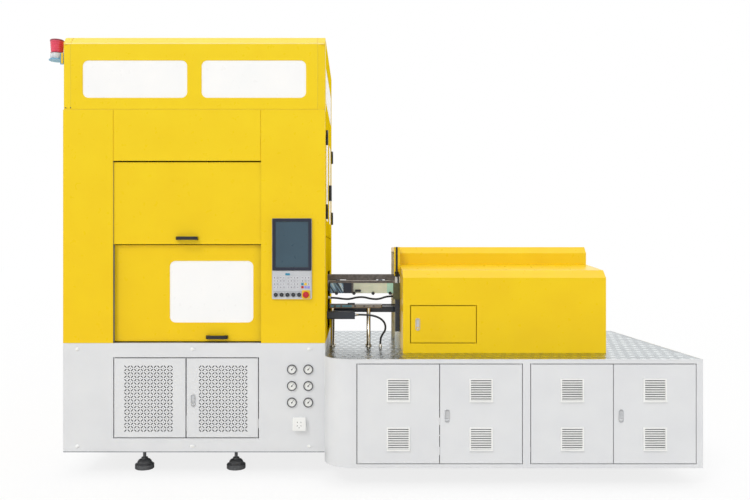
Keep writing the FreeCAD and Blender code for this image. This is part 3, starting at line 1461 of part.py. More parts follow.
def injection_base():
    """Beams for the carriage with their pedestals, the upright frame at the covers' end, the guard's bar, and
    the valve box before the purge table."""
    parts = []
    for side, sign in (("front", "-"), ("rear", "+")):
        y = f"{BARREL_Y} {sign} rail_spread - rail_w / 2"
        parts.append(
            box(f"rail_{side}", RAIL_X, y, "rail_top - rail_height", RAIL_L, "rail_w", "rail_height")
        )
    wide = "2 * rail_spread + rail_w"
    start = f"{BARREL_Y} - rail_spread - rail_w / 2"
    below = "rail_top - rail_height"
    parts.append(box("rail_foot_bed", RAIL_X, start, "bed_top", "pedestal", wide, f"{below} - bed_top"))
    for i, x in enumerate(
        (f"{COVER_X} + 60", f"{COVER_X} + cover_l / 2", f"{COVER_X} + cover_l - 60 - pedestal")
    ):
        parts.append(box(f"rail_foot_{i + 1}", x, start, "deck_z", "pedestal", wide, f"{below} - deck_z"))
    top = "portal_top"
    for side, y in (("front", GUARD_Y), ("rear", f"{BARREL_Y} + guard_half - portal")):
        parts.append(box(f"portal_post_{side}", PORTAL_X, y, "deck_z", "portal", "portal", f"{top} - deck_z"))
    parts.append(box("portal_top", PORTAL_X, GUARD_Y, top, "portal", "2 * guard_half", "portal"))
    bar = box("guard_bar_tube", TOWER_RIGHT, f"{GUARD_Y} + guard_leaf + edge_play", GUARD_BAR_Z,
              f"{PORTAL_X} - {TOWER_RIGHT}", "guard_bar_w", "rail_height")
    fixed, clear, bores = [], [], []
    for i, x in enumerate(GUARD_HINGES):
        fixed.append(guard_knuckle(f"bar_knuckle_{i + 1}", x, "guard_knuckle"))
        bores.append(guard_knuckle(f"bar_knuckle_bore_{i + 1}", f"{x} - 1", "pin_radius + pin_play", "+ 2"))
        clear.append(
            guard_knuckle(
                f"bar_knuckle_way_{i + 1}", f"{x} + guard_knuckle_l", "guard_knuckle + pin_play", "+ 1",
            )
        )
    parts.append(
        cut("guard_bar", fuse("guard_bar_whole", cut("guard_bar_notched", bar, *clear), *fixed), *bores)
    )
    parts.append(rounded("valve_box", TOWER_RIGHT, "tower_y0 + stand_y - valve_d", f"{below} - 30",
                         "valve_w", "valve_d", "55", "6", "x"))
    parts.append(fitting("valve_fitting", *VALVE_END, "+X"))
    parts.append(fitting("deck_fitting", *DECK_END, "+Z"))
    node("injection_base", group("injection_base_set", *parts))


def guard_knuckle(name, x, radius, more="+ 0"):
    """A round of the guard's hinge line, which runs along the bar's lower front edge."""
    return rod(name, x, f"{GUARD_Y} + guard_leaf", GUARD_BAR_Z, radius, f"guard_knuckle_l {more}", "+X")


def nozzle_guard():
    """A framed pane that hangs from the bar on two hinges and swings up to show the nozzle."""
    x, wide = f"{TOWER_RIGHT} + guard_gap", f"{PORTAL_X} - {TOWER_RIGHT} - 2 * guard_gap"
    outer = rounded(
        "guard_frame_out", x, GUARD_Y, "guard_low", wide, "guard_leaf", "guard_height - edge_play", "6",
    )
    sash = "guard_sash"
    half = f"(({wide}) - 3 * {sash}) / 2"
    holes, panes = [], []
    for i in range(2):
        pane_x = f"{x} + {sash} + {i} * ({half} + {sash})"
        holes.append(
            box(
                f"guard_light_{i + 1}", pane_x, f"{GUARD_Y} - 1", f"guard_low + {sash}", half,
                "guard_leaf + 2", f"guard_height - 2 * {sash}",
            )
        )
        panes.append(
            box(
                f"guard_pane_{i + 1}", f"{pane_x} + 0.2", f"{GUARD_Y} + guard_leaf / 2",
                f"guard_low + {sash} + 0.2", f"{half} - 0.4", "pane", f"guard_height - 2 * {sash} - 0.4",
            )
        )
    knobs = []
    for i in range(4):
        knob_x = f"{x} + ({wide}) * (0.14 + {i} * 0.24)"
        knobs.append(
            turned(
                f"guard_knob_{i + 1}",
                [("0", "0"), ("5", "0"), ("5", "6"), ("14", "9"), ("14", "22"), ("10", "26"), ("0", "26")],
                knob_x, GUARD_Y, "guard_low + guard_sash / 2", "-Y",
            )
        )
    knuckles = []
    for i, hinge_x in enumerate(GUARD_HINGES):
        holes.append(
            guard_knuckle(f"guard_knuckle_way_{i + 1}", f"{hinge_x} - 1", "guard_knuckle + pin_play", "+ 1")
        )
        moving_x = f"{hinge_x} + guard_knuckle_l + edge_play"
        knuckles.append(guard_knuckle(f"guard_knuckle_{i + 1}", moving_x, "guard_knuckle", "- edge_play"))
        knuckles.append(guard_knuckle(f"guard_pin_{i + 1}", hinge_x, "pin_radius", "* 2"))
    frame = fuse("guard_frame", cut("guard_frame_lights", outer, *holes), *knuckles)
    node("nozzle_guard", group("nozzle_guard_set", frame, *panes, *knobs))


def purge_table():
    """A small table on legs under the nozzle, for what is purged from it."""
    x, y = f"{TOWER_RIGHT} + stand_gap", "tower_y0 + stand_y"
    top = rounded(
        "purge_top", x, y, "stand_top - stand_plate", "stand_w", "stand_d", "stand_plate", "12", "z",
    )
    legs = []
    for i, (leg_x, leg_y) in enumerate(
        (leg_x, leg_y)
        for leg_x in (f"{x} + stand_leg_x1", f"{x} + stand_leg_x2")
        for leg_y in (f"{y} + stand_leg * 1.8", f"{y} + stand_d - stand_leg * 1.8")
    ):
        legs.append(
            rod(f"purge_leg_{i + 1}", leg_x, leg_y, "deck_z", "stand_leg", "stand_top - stand_plate - deck_z")
        )
        legs.append(rod(f"purge_foot_{i + 1}", leg_x, leg_y, "deck_z", "stand_leg * 1.6", "6"))
    node("purge_table", fuse("purge_table_welded", top, *legs))


def injection_carriage():
    """The carriage on its beams, with the hollow barrel, heater bands, nozzle and the drive behind."""
    tip, cone = NOZZLE_X, "nozzle_cone"
    start = f"{tip} + {cone}"
    points = [("screw_radius_in", cone), ("barrel_radius", cone), ("barrel_radius", f"{cone} + barrel_l"),
              ("screw_radius_in", f"{cone} + barrel_l")]
    nose = [("4", "0"), ("12", "0"), ("26", "34"), ("barrel_radius * 0.7", cone), ("4", cone)]
    parts = [turned("nozzle", nose, tip, BARREL_Y, "barrel_z", "+X")]
    parts.append(turned("barrel", points, tip, BARREL_Y, "barrel_z", "+X"))
    for i in range(5):
        low = f"{cone} + 60 + {i} * (band_w + 22)"
        parts.append(turned(
            f"heater_band_{i + 1}",
            [("barrel_radius", low), ("barrel_radius + 14", low), ("barrel_radius + 14", f"{low} + band_w"),
             ("barrel_radius", f"{low} + band_w")], tip, BARREL_Y, "barrel_z", "+X"))
    block_x = f"{start} + barrel_l"
    block = box(
        "carriage_block", block_x, f"{BARREL_Y} - rail_spread - rail_w / 2", "rail_top + pin_play",
        "carriage_l", "2 * rail_spread + rail_w", "2 * (barrel_z - rail_top) - 2 * pin_play",
    )
    bore = rod(
        "carriage_bore", f"{block_x} - 1", BARREL_Y, "barrel_z", "screw_radius_in", "carriage_l + 2", "+X",
    )
    parts.append(cut("carriage_body", block, bore))
    motor = turned(
        "drive_motor", [("0", "0"), ("95", "0"), ("95", "210"), ("70", "220"), ("70", "360"), ("0", "360")],
        f"{block_x} + carriage_l", BARREL_Y, "barrel_z", "+X",
    )
    parts.append(motor)
    node("injection_carriage", group("injection_carriage_set", *parts))
    core = "screw_radius_in - edge_play"
    screw = [("0", "nozzle_cone + 8"), (f"({core}) * 0.5", "nozzle_cone + 40"), (core, "nozzle_cone + 41"),
             (core, "nozzle_cone + barrel_l + carriage_l - edge_play"),
         ("0", "nozzle_cone + barrel_l + carriage_l - edge_play")]
    node("injection_screw", turned("injection_screw_body", screw, tip, BARREL_Y, "barrel_z", "+X"))


# ---------------------------------------------------------------- press
STATION_WAYS = ((1, 0), (0, 1), (-1, 0), (0, -1))


def row_places(index):
    """The places of the cavities at a station of the table, in a row across its radius."""
    along, across = STATION_WAYS[index]
    places = []
    for k in (-1, 0, 1):
        places.append((f"{PRESS_X} + {along} * station - {across} * {k} * core_pitch",
                       f"{PRESS_Y} + {across} * station + {along} * {k} * core_pitch"))
    return places


def press_frame():
    """Bed, tie bars with nuts, top platen, hollow clamp cylinder and the pedestal that carries the table."""
    bed = box(
        "bed_plate", "tower_x0 + fold", "tower_y0 + fold", BED_LOW, "tower_w - 2 * fold",
        "tower_d - 2 * fold", "bed_thick",
    )
    holes, bars, platen_holes = [], [], []
    for i, (sx, sy) in enumerate((sx, sy) for sy in ("-", "+") for sx in ("-", "+")):
        x, y = f"{PRESS_X} {sx} bar_x", f"{PRESS_Y} {sy} bar_y"
        bars.append(
            rod(
                f"tie_bar_{i + 1}", x, y, BED_LOW, "bar_radius",
                f"top_platen_z + top_platen + 90 - {BED_LOW}",
            )
        )
        holes.append(rod(f"bar_hole_{i + 1}", x, y, f"{BED_LOW} - 1", "bar_radius", "bed_thick + 2"))
        platen_holes.append(
            rod(f"bar_seat_{i + 1}", x, y, "top_platen_z - 1", "bar_radius", "top_platen + 2")
        )
        nut = [("bar_radius", "0"), ("bar_radius + nut_wall", "0"), ("bar_radius + nut_wall", "nut_height"),
               ("bar_radius", "nut_height")]
        for end, z in (("low", "top_platen_z - nut_height"), ("high", "top_platen_z + top_platen")):
            bars.append(turned(f"bar_nut_{i + 1}_{end}", nut, x, y, z))
    bed_cut = cut("bed_drilled", bed, *holes)
    top = rounded("top_platen_block", f"{PRESS_X} - bar_x - 80", f"{PRESS_Y} - bar_y - 80", "top_platen_z",
                  "2 * bar_x + 160", "2 * bar_y + 160", "top_platen", "60", "z")
    ram_hole = rod(
        "ram_hole", PRESS_X, PRESS_Y, "top_platen_z - 1", "ram_radius + pin_play", "top_platen + 2",
    )
    rod_hole = rod(
        "rod_hole", f"{PRESS_X} - station", PRESS_Y, "top_platen_z - 1", "rod_piston + pin_play",
        "top_platen + 2",
    )
    top_cut = cut("top_platen_drilled", top, ram_hole, rod_hole, *platen_holes)
    high = "clamp_height"
    cylinder = turned(
        "clamp_cylinder",
        [
            ("ram_radius + pin_play", "0"), ("ram_radius + 70", "0"), ("ram_radius + 70", high),
            ("0", high), ("0", f"{high} - 20"), ("ram_radius + pin_play", f"{high} - 20"),
        ],
        PRESS_X, PRESS_Y, "top_platen_z + top_platen",
    )
    seat, spigot = "table_z - bed_top - pin_play", "table_z + table_thick / 2 - bed_top"
    pedestal = turned("table_pedestal", [
        ("0", "0"), ("pedestal_flange", "0"), ("pedestal_flange", "40"), ("pedestal_radius", "60"),
        ("pedestal_radius", seat), ("table_spigot", seat), ("table_spigot", spigot), ("0", spigot)],
        PRESS_X, PRESS_Y, "bed_top")
    lift = turned("rod_cylinder", [
        ("rod_piston + pin_play", "0"), ("rod_piston + 22", "0"), ("rod_piston + 22", high), ("0", high),
        ("0", f"{high} - 10"), ("rod_piston + pin_play", f"{high} - 10")],
        f"{PRESS_X} - station", PRESS_Y, "top_platen_z + top_platen")
    node("press_frame", group("press_frame_set", bed_cut, top_cut, cylinder, lift, pedestal, *bars))


def rotary_table():
    """The round table with a row of neck openings at each of its four stations."""
    disc = rod("table_disc", PRESS_X, PRESS_Y, "table_z", "table_radius", "table_thick")
    holes = [rod("table_bore", PRESS_X, PRESS_Y, "table_z - 1", "table_spigot + pin_play", "table_thick + 2")]
    for index in range(STATIONS):
        for k, (x, y) in enumerate(row_places(index)):
            holes.append(
                rod(f"neck_{index + 1}_{k + 1}", x, y, "table_z - 1", "core_radius + 6", "table_thick + 2")
            )
    node("rotary_table", cut("table_drilled", disc, *holes))


def moving_platen():
    """The platen that the ram drives down the tie bars, with the injection cores under its right side."""
    plate = rounded("moving_platen_block", f"{PRESS_X} - bar_x - 75", f"{PRESS_Y} - bar_y - 75", "platen_z",
                    "2 * bar_x + 150", "2 * bar_y + 150", "platen_thick", "50", "z")
    holes, parts = [], []
    for i, (sx, sy) in enumerate((sx, sy) for sy in ("-", "+") for sx in ("-", "+")):
        holes.append(
            rod(
                f"bar_slide_{i + 1}", f"{PRESS_X} {sx} bar_x", f"{PRESS_Y} {sy} bar_y", "platen_z - 1",
                "bar_radius + pin_play", "platen_thick + 2",
            )
        )
    for k, (x, y) in enumerate(row_places(2)):
        holes.append(rod(f"rod_way_{k + 1}", x, y, "platen_z - 1", "rod_radius + 2", "platen_thick + 2"))
    plate_cut = cut("moving_platen_drilled", plate, *holes)
    ram = rod("ram", PRESS_X, PRESS_Y, "platen_z + platen_thick", "ram_radius", "ram_l")
    for k, (x, y) in enumerate(row_places(0)):
        parts.append(turned(
            f"core_{k + 1}",
            [("0", "0"), ("core_radius + 14", "0"), ("core_radius + 14", "-50"), ("core_radius", "-56"),
             ("core_radius - 2", "4 - core_length"), ("core_radius - 6", "-core_length"),
             ("0", "-core_length")],
            x, y, "platen_z"))
    node("moving_platen", group("moving_platen_set", plate_cut, ram, *parts))


def moulds():
    """Injection mould at the right station, and two blow mould halves on a slide plate at the left."""
    x, y = f"{PRESS_X} + station - mould_half", f"{PRESS_Y} - mould_l / 2"
    top = "table_z - mould_gap"
    block = box("injection_block", x, y, "bed_top", "2 * mould_half", "mould_l", f"{top} - bed_top")
    bores = []
    for k, (cx, cy) in enumerate(row_places(0)):
        bores.append(
            rod(f"cavity_{k + 1}", cx, cy, f"{top} - cavity_depth", "core_radius + 3", "cavity_depth + 1")
        )
    sprue = turned("sprue_seat", [("0", "1"), ("26", "1"), ("14", "-14"), ("0", "-14")],
                   f"{x} + 2 * mould_half", BARREL_Y, "barrel_z", "+X")
    injection = cut("injection_drilled", block, sprue, *bores)
    low = f"{top} - blow_height"
    reach = "(blow_gap / 2 + blow_thick + blow_travel)"
    table = box(
        "blow_slide", f"{PRESS_X} - station - {reach} - 5", y, "bed_top", f"2 * {reach} + 5", "mould_l",
        f"{low} - pin_play - bed_top",
    )
    node("mould_bases", group("mould_base_set", injection, table))
    for side, x in (("outer", f"{PRESS_X} - station - blow_thick - blow_gap / 2"),
                    ("inner", f"{PRESS_X} - station + blow_gap / 2")):
        half = box(f"blow_block_{side}", x, y, low, "blow_thick", "mould_l", "blow_height")
        hollows = []
        for k, (cx, cy) in enumerate(row_places(2)):
            hollows.append(turned(
                f"bottle_{side}_{k + 1}",
                [("0", "24"), ("bottle_radius - 4", "24"), ("bottle_radius", "30"), ("bottle_radius", "210"),
                 ("core_radius", "250"), ("core_radius", "blow_height + 1"), ("0", "blow_height + 1")],
                cx, cy, low))
        node(f"blow_mould_{side}", cut(f"blow_mould_{side}_block", half, *hollows))


def stretch_rods():
    """Three stretch rods hung from a crosshead, which slides down under the top platen."""
    z = "platen_z + platen_thick + rod_head_z"
    head = rounded("rod_head", f"{PRESS_X} - station - 45", f"{PRESS_Y} - core_pitch - 60", z, "90",
                   "2 * core_pitch + 120", "40", "10", "z")
    rods = [
        rod(
            f"stretch_rod_{k + 1}", x, y, z, "rod_radius", "rod_l", "-Z",
        ) for k, (x, y) in enumerate(row_places(2))
    ]
    piston = rod("rod_piston_bar", f"{PRESS_X} - station", PRESS_Y, f"{z} + 40", "rod_piston",
                 f"top_platen_z + top_platen + rod_stroke + 30 - ({z} + 40)")
    node("stretch_rods", fuse("stretch_rods_whole", head, piston, *rods))


# ---------------------------------------------------------------- hoses
def fitting(name, x, y, z, along):
    """A hose end: a nut and a short sleeve."""
    return turned(
        name,
        [
            ("0", "0"), ("hose_radius * 1.6", "0"), ("hose_radius * 1.6", "10"),
            ("hose_radius * 1.2", "12"), ("hose_radius * 1.2", "hose_fitting"), ("0", "hose_fitting"),
        ],
        x, y, z, along,
    )


def hose(name, points, radius):
    """A tube of straight runs joined by tangent arcs, each arc as large as its two runs allow."""
    runs = [points[i + 1] - points[i] for i in range(len(points) - 1)]
    edges, start, radii = [], points[0], []
    for i in range(1, len(points) - 1):
        into, out = Vector(runs[i - 1]).normalize(), Vector(runs[i]).normalize()
        turn = into.getAngle(out)
        reach = 0.45 * min(runs[i - 1].Length, runs[i].Length)
        bend = reach / math.tan(turn / 2)
        radii.append(round(bend))
        first, last = points[i] - into * reach, points[i] + out * reach
        away = (out - into).normalize()
        middle = points[i] + away * (bend / math.cos(turn / 2) - bend)
        edges.append(Part.LineSegment(start, first).toShape())
        edges.append(Part.Arc(first, middle, last).toShape())
        start = last
    edges.append(Part.LineSegment(start, points[-1]).toShape())
    path = Part.Wire(edges)
    ring = Part.Wire([Part.Circle(points[0], Vector(runs[0]).normalize(), radius).toShape()])
    made = doc.addObject("Part::Feature", name)
    made.Shape = path.makePipeShell([ring], True, False)
    print(name, "length", round(path.Length), "radii", radii,
          "volume ratio", round(made.Shape.Volume / (path.Length * math.pi * radius**2), 3))
    return made


VALVE_END = (f"{TOWER_RIGHT} + valve_w", "tower_y0 + stand_y - valve_d / 2", "rail_top - rail_height - 2")
DECK_END = (f"{TOWER_RIGHT} + valve_w + drain_run", "tower_y0 + stand_y - valve_d / 2", "deck_z")
LINE_START = (TOWER_RIGHT, "tower_y0 + stand_y + line_back", "stand_top + line_above")
LINE_END = (COVER_X, "tower_y0 + stand_y + line_back", "stand_top + line_above + line_climb")
# routes as offsets from the mouth of the first fitting to points chosen along the hose
DRAIN_ROUTE = [
    (30, 0, 0), (70, 0, -2), (118, 0, -9), (164, -4, -30), (190, -8, -62), (193, -8, -106), (168, -5, -142),
]
LINE_ROUTE = [
    (38, 0, 0), (84, 0, -8), (134, 2, -10), (184, 2, 4), (236, 0, 6), (290, -2, -8), (344, -2, -10),
    (394, 0, 8), (436, 0, 12),
]


def place(coordinates):
    return Vector(*[size(text) for text in coordinates])


def hoses():
    """The drain hose from the valve box down to the deck, and the line from the tower to the front cover."""
    radius, reach = size("hose_radius"), size("hose_fitting")
    start = place(VALVE_END) + Vector(reach, 0, 0)
    end = place(DECK_END) + Vector(0, 0, reach)
    over_end = end + Vector(0, 0, size("drain_rise"))
    points = [start, *[start + Vector(*step) for step in DRAIN_ROUTE], over_end, end]
    node("drain_hose", hose("drain_hose_tube", points, radius))
    start = place(LINE_START) + Vector(reach, 0, 0)
    end = place(LINE_END) - Vector(reach, 0, 0)
    points = [start, *[start + Vector(*step) for step in LINE_ROUTE], end]
    node("line_hose", hose("line_hose_tube", points, radius))


# ---------------------------------------------------------------- equipment in the cabinet
def cabinet_equipment():
    """Hydraulic unit on the cabinet's rails (tank, motor, bell and pump) and the electrical plate."""
    x, y = f"{MULLION_X} + cabinet_post + tank_gap", f"{CAB_Y} + cabinet_foot_front - cabinet_beam / 2"
    z = "cabinet_skirt_z + cabinet_beam"
    tank = rounded("oil_tank", x, y, z, "tank_w", "tank_d", "tank_h", "12", "z")
    lid = box("tank_lid", f"{x} - tank_lap", f"{y} - tank_lap", f"{z} + tank_h", "tank_w + 2 * tank_lap",
              "tank_d + 2 * tank_lap", "tank_lid")
    foot_x, foot_z = f"{x} + motor_inset", f"{z} + tank_h + tank_lid"
    axis_y, axis_z = f"{y} + tank_d / 2", f"{foot_z} + motor_stand + motor_radius"
    stand = box("motor_stand_block", foot_x, f"{axis_y} - motor_radius", foot_z,
                "motor_l", "2 * motor_radius", "motor_stand")
    motor = rod("pump_motor", foot_x, axis_y, axis_z, "motor_radius", "motor_l", "+X")
    throat = "motor_radius * 0.67"
    bell_points = [("0", "0"), ("motor_radius", "0"), (throat, "bell_l * 0.67"), (throat, "bell_l"),
                   ("0", "bell_l")]
    bell = turned("bell_housing", bell_points, f"{foot_x} + motor_l", axis_y, axis_z, "+X")
    pump = rod("pump", f"{foot_x} + motor_l + bell_l", axis_y, axis_z, "pump_radius", "pump_l", "+X")
    plate_y = f"{CAB_BACK} - cabinet_foot_back - cabinet_beam / 2 - sheet"
    plate_x = f"{CAB_X} + plate_left"
    plate_h = f"{DECK_LOW} - cabinet_post - ({z})"
    plate = box("electrical_plate", plate_x, plate_y, z, "plate_w", "sheet", plate_h)
    drives = []
    for i in range(DRIVES):
        drive_x = f"{plate_x} + drive_w / 3 + {i} * drive_w * 1.3"
        drives.append(box(f"drive_unit_{i + 1}", drive_x, f"{plate_y} - drive_d", f"{z} + drive_z",
                          "drive_w", "drive_d", "drive_h"))
    node("cabinet_equipment", group("equipment_set", tank, lid, stand, motor, bell, pump, plate, *drives))


machine_frame()
levelling_feet()
grille_doors()
base_panels()
gauges()
socket_outlet()
front_panels()
lifting_doors()
side_doors(enclosure_panels(hood()))
control_panel()
buttons()
beacon()
cabinet_shell()
deck()
cabinet_doors()
injection_covers()
injection_base()
nozzle_guard()
purge_table()
injection_carriage()
hoses()
press_frame()
rotary_table()
moving_platen()
moulds()
stretch_rods()
cabinet_equipment()

doc.recompute()
for obj in doc.Objects:
    faults = [word for word in obj.State if word in ("Invalid", "Error")]
    if faults:
        raise RuntimeError(f"{obj.Name} is {faults}")
for label, shape_object in nodes.items():
    shape = shape_object.Shape
    if shape.isNull() or not shape.isValid():
        raise RuntimeError(f"{label} has no valid shape")
os.makedirs("parts", exist_ok=True)
for label, shape_object in nodes.items():
    shape_object.Shape.exportStep(os.path.join("parts", label + ".step"))
print(len(nodes), "nodes written")
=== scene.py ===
"""Looks of the blow moulding machine: camera, light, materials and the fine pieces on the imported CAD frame."""
import json
import math

import bmesh
import bpy
from mathutils import Matrix, Vector


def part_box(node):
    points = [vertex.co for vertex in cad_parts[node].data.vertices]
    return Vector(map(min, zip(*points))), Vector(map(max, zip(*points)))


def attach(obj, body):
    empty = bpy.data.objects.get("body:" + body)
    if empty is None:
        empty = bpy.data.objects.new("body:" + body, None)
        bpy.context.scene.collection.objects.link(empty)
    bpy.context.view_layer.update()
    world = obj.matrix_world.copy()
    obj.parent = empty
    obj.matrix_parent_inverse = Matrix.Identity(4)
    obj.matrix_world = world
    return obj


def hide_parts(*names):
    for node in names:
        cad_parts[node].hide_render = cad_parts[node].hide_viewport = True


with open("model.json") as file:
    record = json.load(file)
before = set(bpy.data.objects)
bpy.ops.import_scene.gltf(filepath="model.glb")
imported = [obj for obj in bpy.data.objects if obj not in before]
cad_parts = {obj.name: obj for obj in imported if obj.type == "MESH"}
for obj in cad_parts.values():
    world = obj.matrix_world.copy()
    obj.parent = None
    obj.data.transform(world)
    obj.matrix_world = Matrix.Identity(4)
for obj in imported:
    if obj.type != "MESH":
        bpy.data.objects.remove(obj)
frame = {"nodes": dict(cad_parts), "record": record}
NODES = frame["nodes"]
SLOT_OF = {part["node"]: part["material_slot"] for part in frame["record"]["subparts"]}


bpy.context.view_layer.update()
scene = bpy.context.scene

# ---------------------------------------------------------------- camera
CAMERA_AT = (-0.048, -5.609, 1.482)
camera_data = bpy.data.cameras.new("photo_camera")
camera_data.sensor_width = 36
camera_data.lens = 36.36
camera_data.shift_x = 0.0253
camera_data.shift_y = 0.0027
camera_data.clip_end = 100
camera = bpy.data.objects.new("photo_camera", camera_data)
camera.location = CAMERA_AT
camera.rotation_euler = (math.radians(90), 0, 0)
scene.collection.objects.link(camera)
scene.camera = camera


# ---------------------------------------------------------------- colours and material nodes
def colour(code):
    """A linear RGBA colour from an sRGB hex code."""
    channels = [int(code[i:i + 2], 16) / 255 for i in (1, 3, 5)]
    return [c / 12.92 if c <= 0.04045 else ((c + 0.055) / 1.055) ** 2.4 for c in channels] + [1]


class Finish:
    """A material or the sky under construction: its shader and the nodes that feed it."""

    def __init__(self, owner, shader="Principled BSDF"):
        owner.use_nodes = True
        self.owner = owner
        self.tree = owner.node_tree
        self.shader = self.tree.nodes[shader]

    def add(self, kind, settings=None, **links):
        """Adds a node, sets its settings and joins or sets its sockets."""
        node = self.tree.nodes.new(kind)
        for key, value in (settings or {}).items():
            setattr(node, key, value)
        for key, value in links.items():
            self.feed(node, key, value)
        return node

    def feed(self, node, key, value):
        """Sets a socket to a value or a hex colour, or joins it to another socket. _2 is the third socket."""
        socket = node.inputs[int(key[1:])] if key[0] == "_" else node.inputs[key.replace("_", " ")]
        if isinstance(value, bpy.types.NodeSocket):
            self.tree.links.new(value, socket)
        else:
            socket.default_value = colour(value) if isinstance(value, str) else value

    def set(self, **values):
        """Sets the shader's own sockets."""
        for key, value in values.items():
            self.feed(self.shader, key, value)
        return self


def where(finish):
    """Object coordinates in metres."""
    return finish.add("ShaderNodeTexCoord").outputs["Object"]


def cloud(finish, size, detail=3.0, stretch=None):
    """Noise whose blots are size metres across."""
    place = where(finish)
    if stretch:
        place = finish.add("ShaderNodeMapping", Vector=place, Scale=stretch).outputs["Vector"]
    return finish.add("ShaderNodeTexNoise", Vector=place, Scale=1 / size, Detail=detail).outputs["Fac"]


def between(finish, factor, low, high, start=0.3, end=0.7):
    """A value that goes from low to high while the factor goes from start to end."""
    node = finish.add("ShaderNodeMapRange", Value=factor, From_Min=start, From_Max=end, To_Min=low,
                      To_Max=high)
    return node.outputs["Result"]


def tint(finish, factor, first, second):
    """A colour between two, each a hex code or another node's colour."""
    return finish.add("ShaderNodeMix", {"data_type": "RGBA"}, _0=factor, _6=first, _7=second).outputs[2]


def coat(name, base, darker, roughness, metallic=0.0, grain=0.0012, mottle=0.22, relief=0.0002, fold=0.0):
    """Paint or plastic: slow colour drift, finer gloss drift, a fine bump, and folds rounded by fold metres."""
    finish = Finish(bpy.data.materials.new(name))
    drift = between(finish, cloud(finish, mottle), 0, 1)
    gloss = between(finish, cloud(finish, mottle / 6), roughness - 0.03, roughness + 0.04)
    rounding = {}
    if fold:
        rounding["Normal"] = finish.add("ShaderNodeBevel", {"samples": 4}, Radius=fold).outputs["Normal"]
    peel = finish.add("ShaderNodeBump", Height=cloud(finish, grain, 1.0), Distance=relief, Strength=0.3,
                      **rounding)
    return finish.set(Base_Color=tint(finish, drift, base, darker), Roughness=gloss, Metallic=metallic,
                      Normal=peel.outputs["Normal"])


def yellow_coat(name, gloss):
    """Baked powder coat, paler towards the top of the tower as in the photo."""
    finish = coat(name, "#f9cf0a", "#f6c904", 0.3, fold=0.0025)
    # painted light: the coat turns paler towards the top of the tower, where more light falls
    height = finish.add("ShaderNodeSeparateXYZ", Vector=where(finish)).outputs["Z"]
    rise = between(finish, height, 0, 1, 1.0, 2.9)
    drift = between(finish, cloud(finish, 0.22), 0, 1)
    low = tint(finish, drift, "#f7cf00", "#f4ca00")
    high = tint(finish, drift, "#f8d818", "#f6d312")
    return finish.set(Base_Color=tint(finish, rise, low, high), Specular_IOR_Level=gloss)


def tread_plate():
    """Bright rolled steel: cloudy grey metal with fine scratches along the rolling direction."""
    finish = coat("bright tread plate", "#a4abae", "#8b9296", 0.26, 1.0, mottle=0.12, relief=0.0001)
    scratches = cloud(finish, 0.004, 2.0, (0.06, 1, 1))
    return finish.set(Roughness=between(finish, scratches, 0.2, 0.34))


def display_glass():
    """A switched-off liquid crystal screen: dark blue grey behind coated glass."""
    finish = coat("display glass", "#2f4c5b", "#2a4655", 0.3, relief=0.0)
    return finish.set(Coat_Weight=0.2, Coat_Roughness=0.08)


def clear_pane(name, base, darker, see_through):
    """Cast acrylic sheet: partly see-through with faint streaks."""
    finish = coat(name, base, darker, 0.08, mottle=0.06, relief=0.0)
    return finish.set(Transmission_Weight=see_through)


def reflection_streaked_pane():
    """Acrylic sheet with painted reflections: slanted white and dark blue streaks about 15 mm wide."""
    finish = coat("acrylic with painted reflections", "#2c3f55", "#223347", 0.12, relief=0.0)
    leaned = finish.add("ShaderNodeMapping", Vector=where(finish), Rotation=(0, 0.55, 0)).outputs["Vector"]
    drawn_out = finish.add("ShaderNodeMapping", Vector=leaned, Scale=(60, 1, 6)).outputs["Vector"]
    streaks = finish.add("ShaderNodeTexNoise", Vector=drawn_out, Scale=1.0, Detail=2.0).outputs["Fac"]
    blue = tint(finish, between(finish, streaks, 0, 1, 0.42, 0.56), "#2a3c52", "#86b2dc")
    return finish.set(Base_Color=tint(finish, between(finish, streaks, 0, 1, 0.56, 0.66), blue, "#eef4fa"))


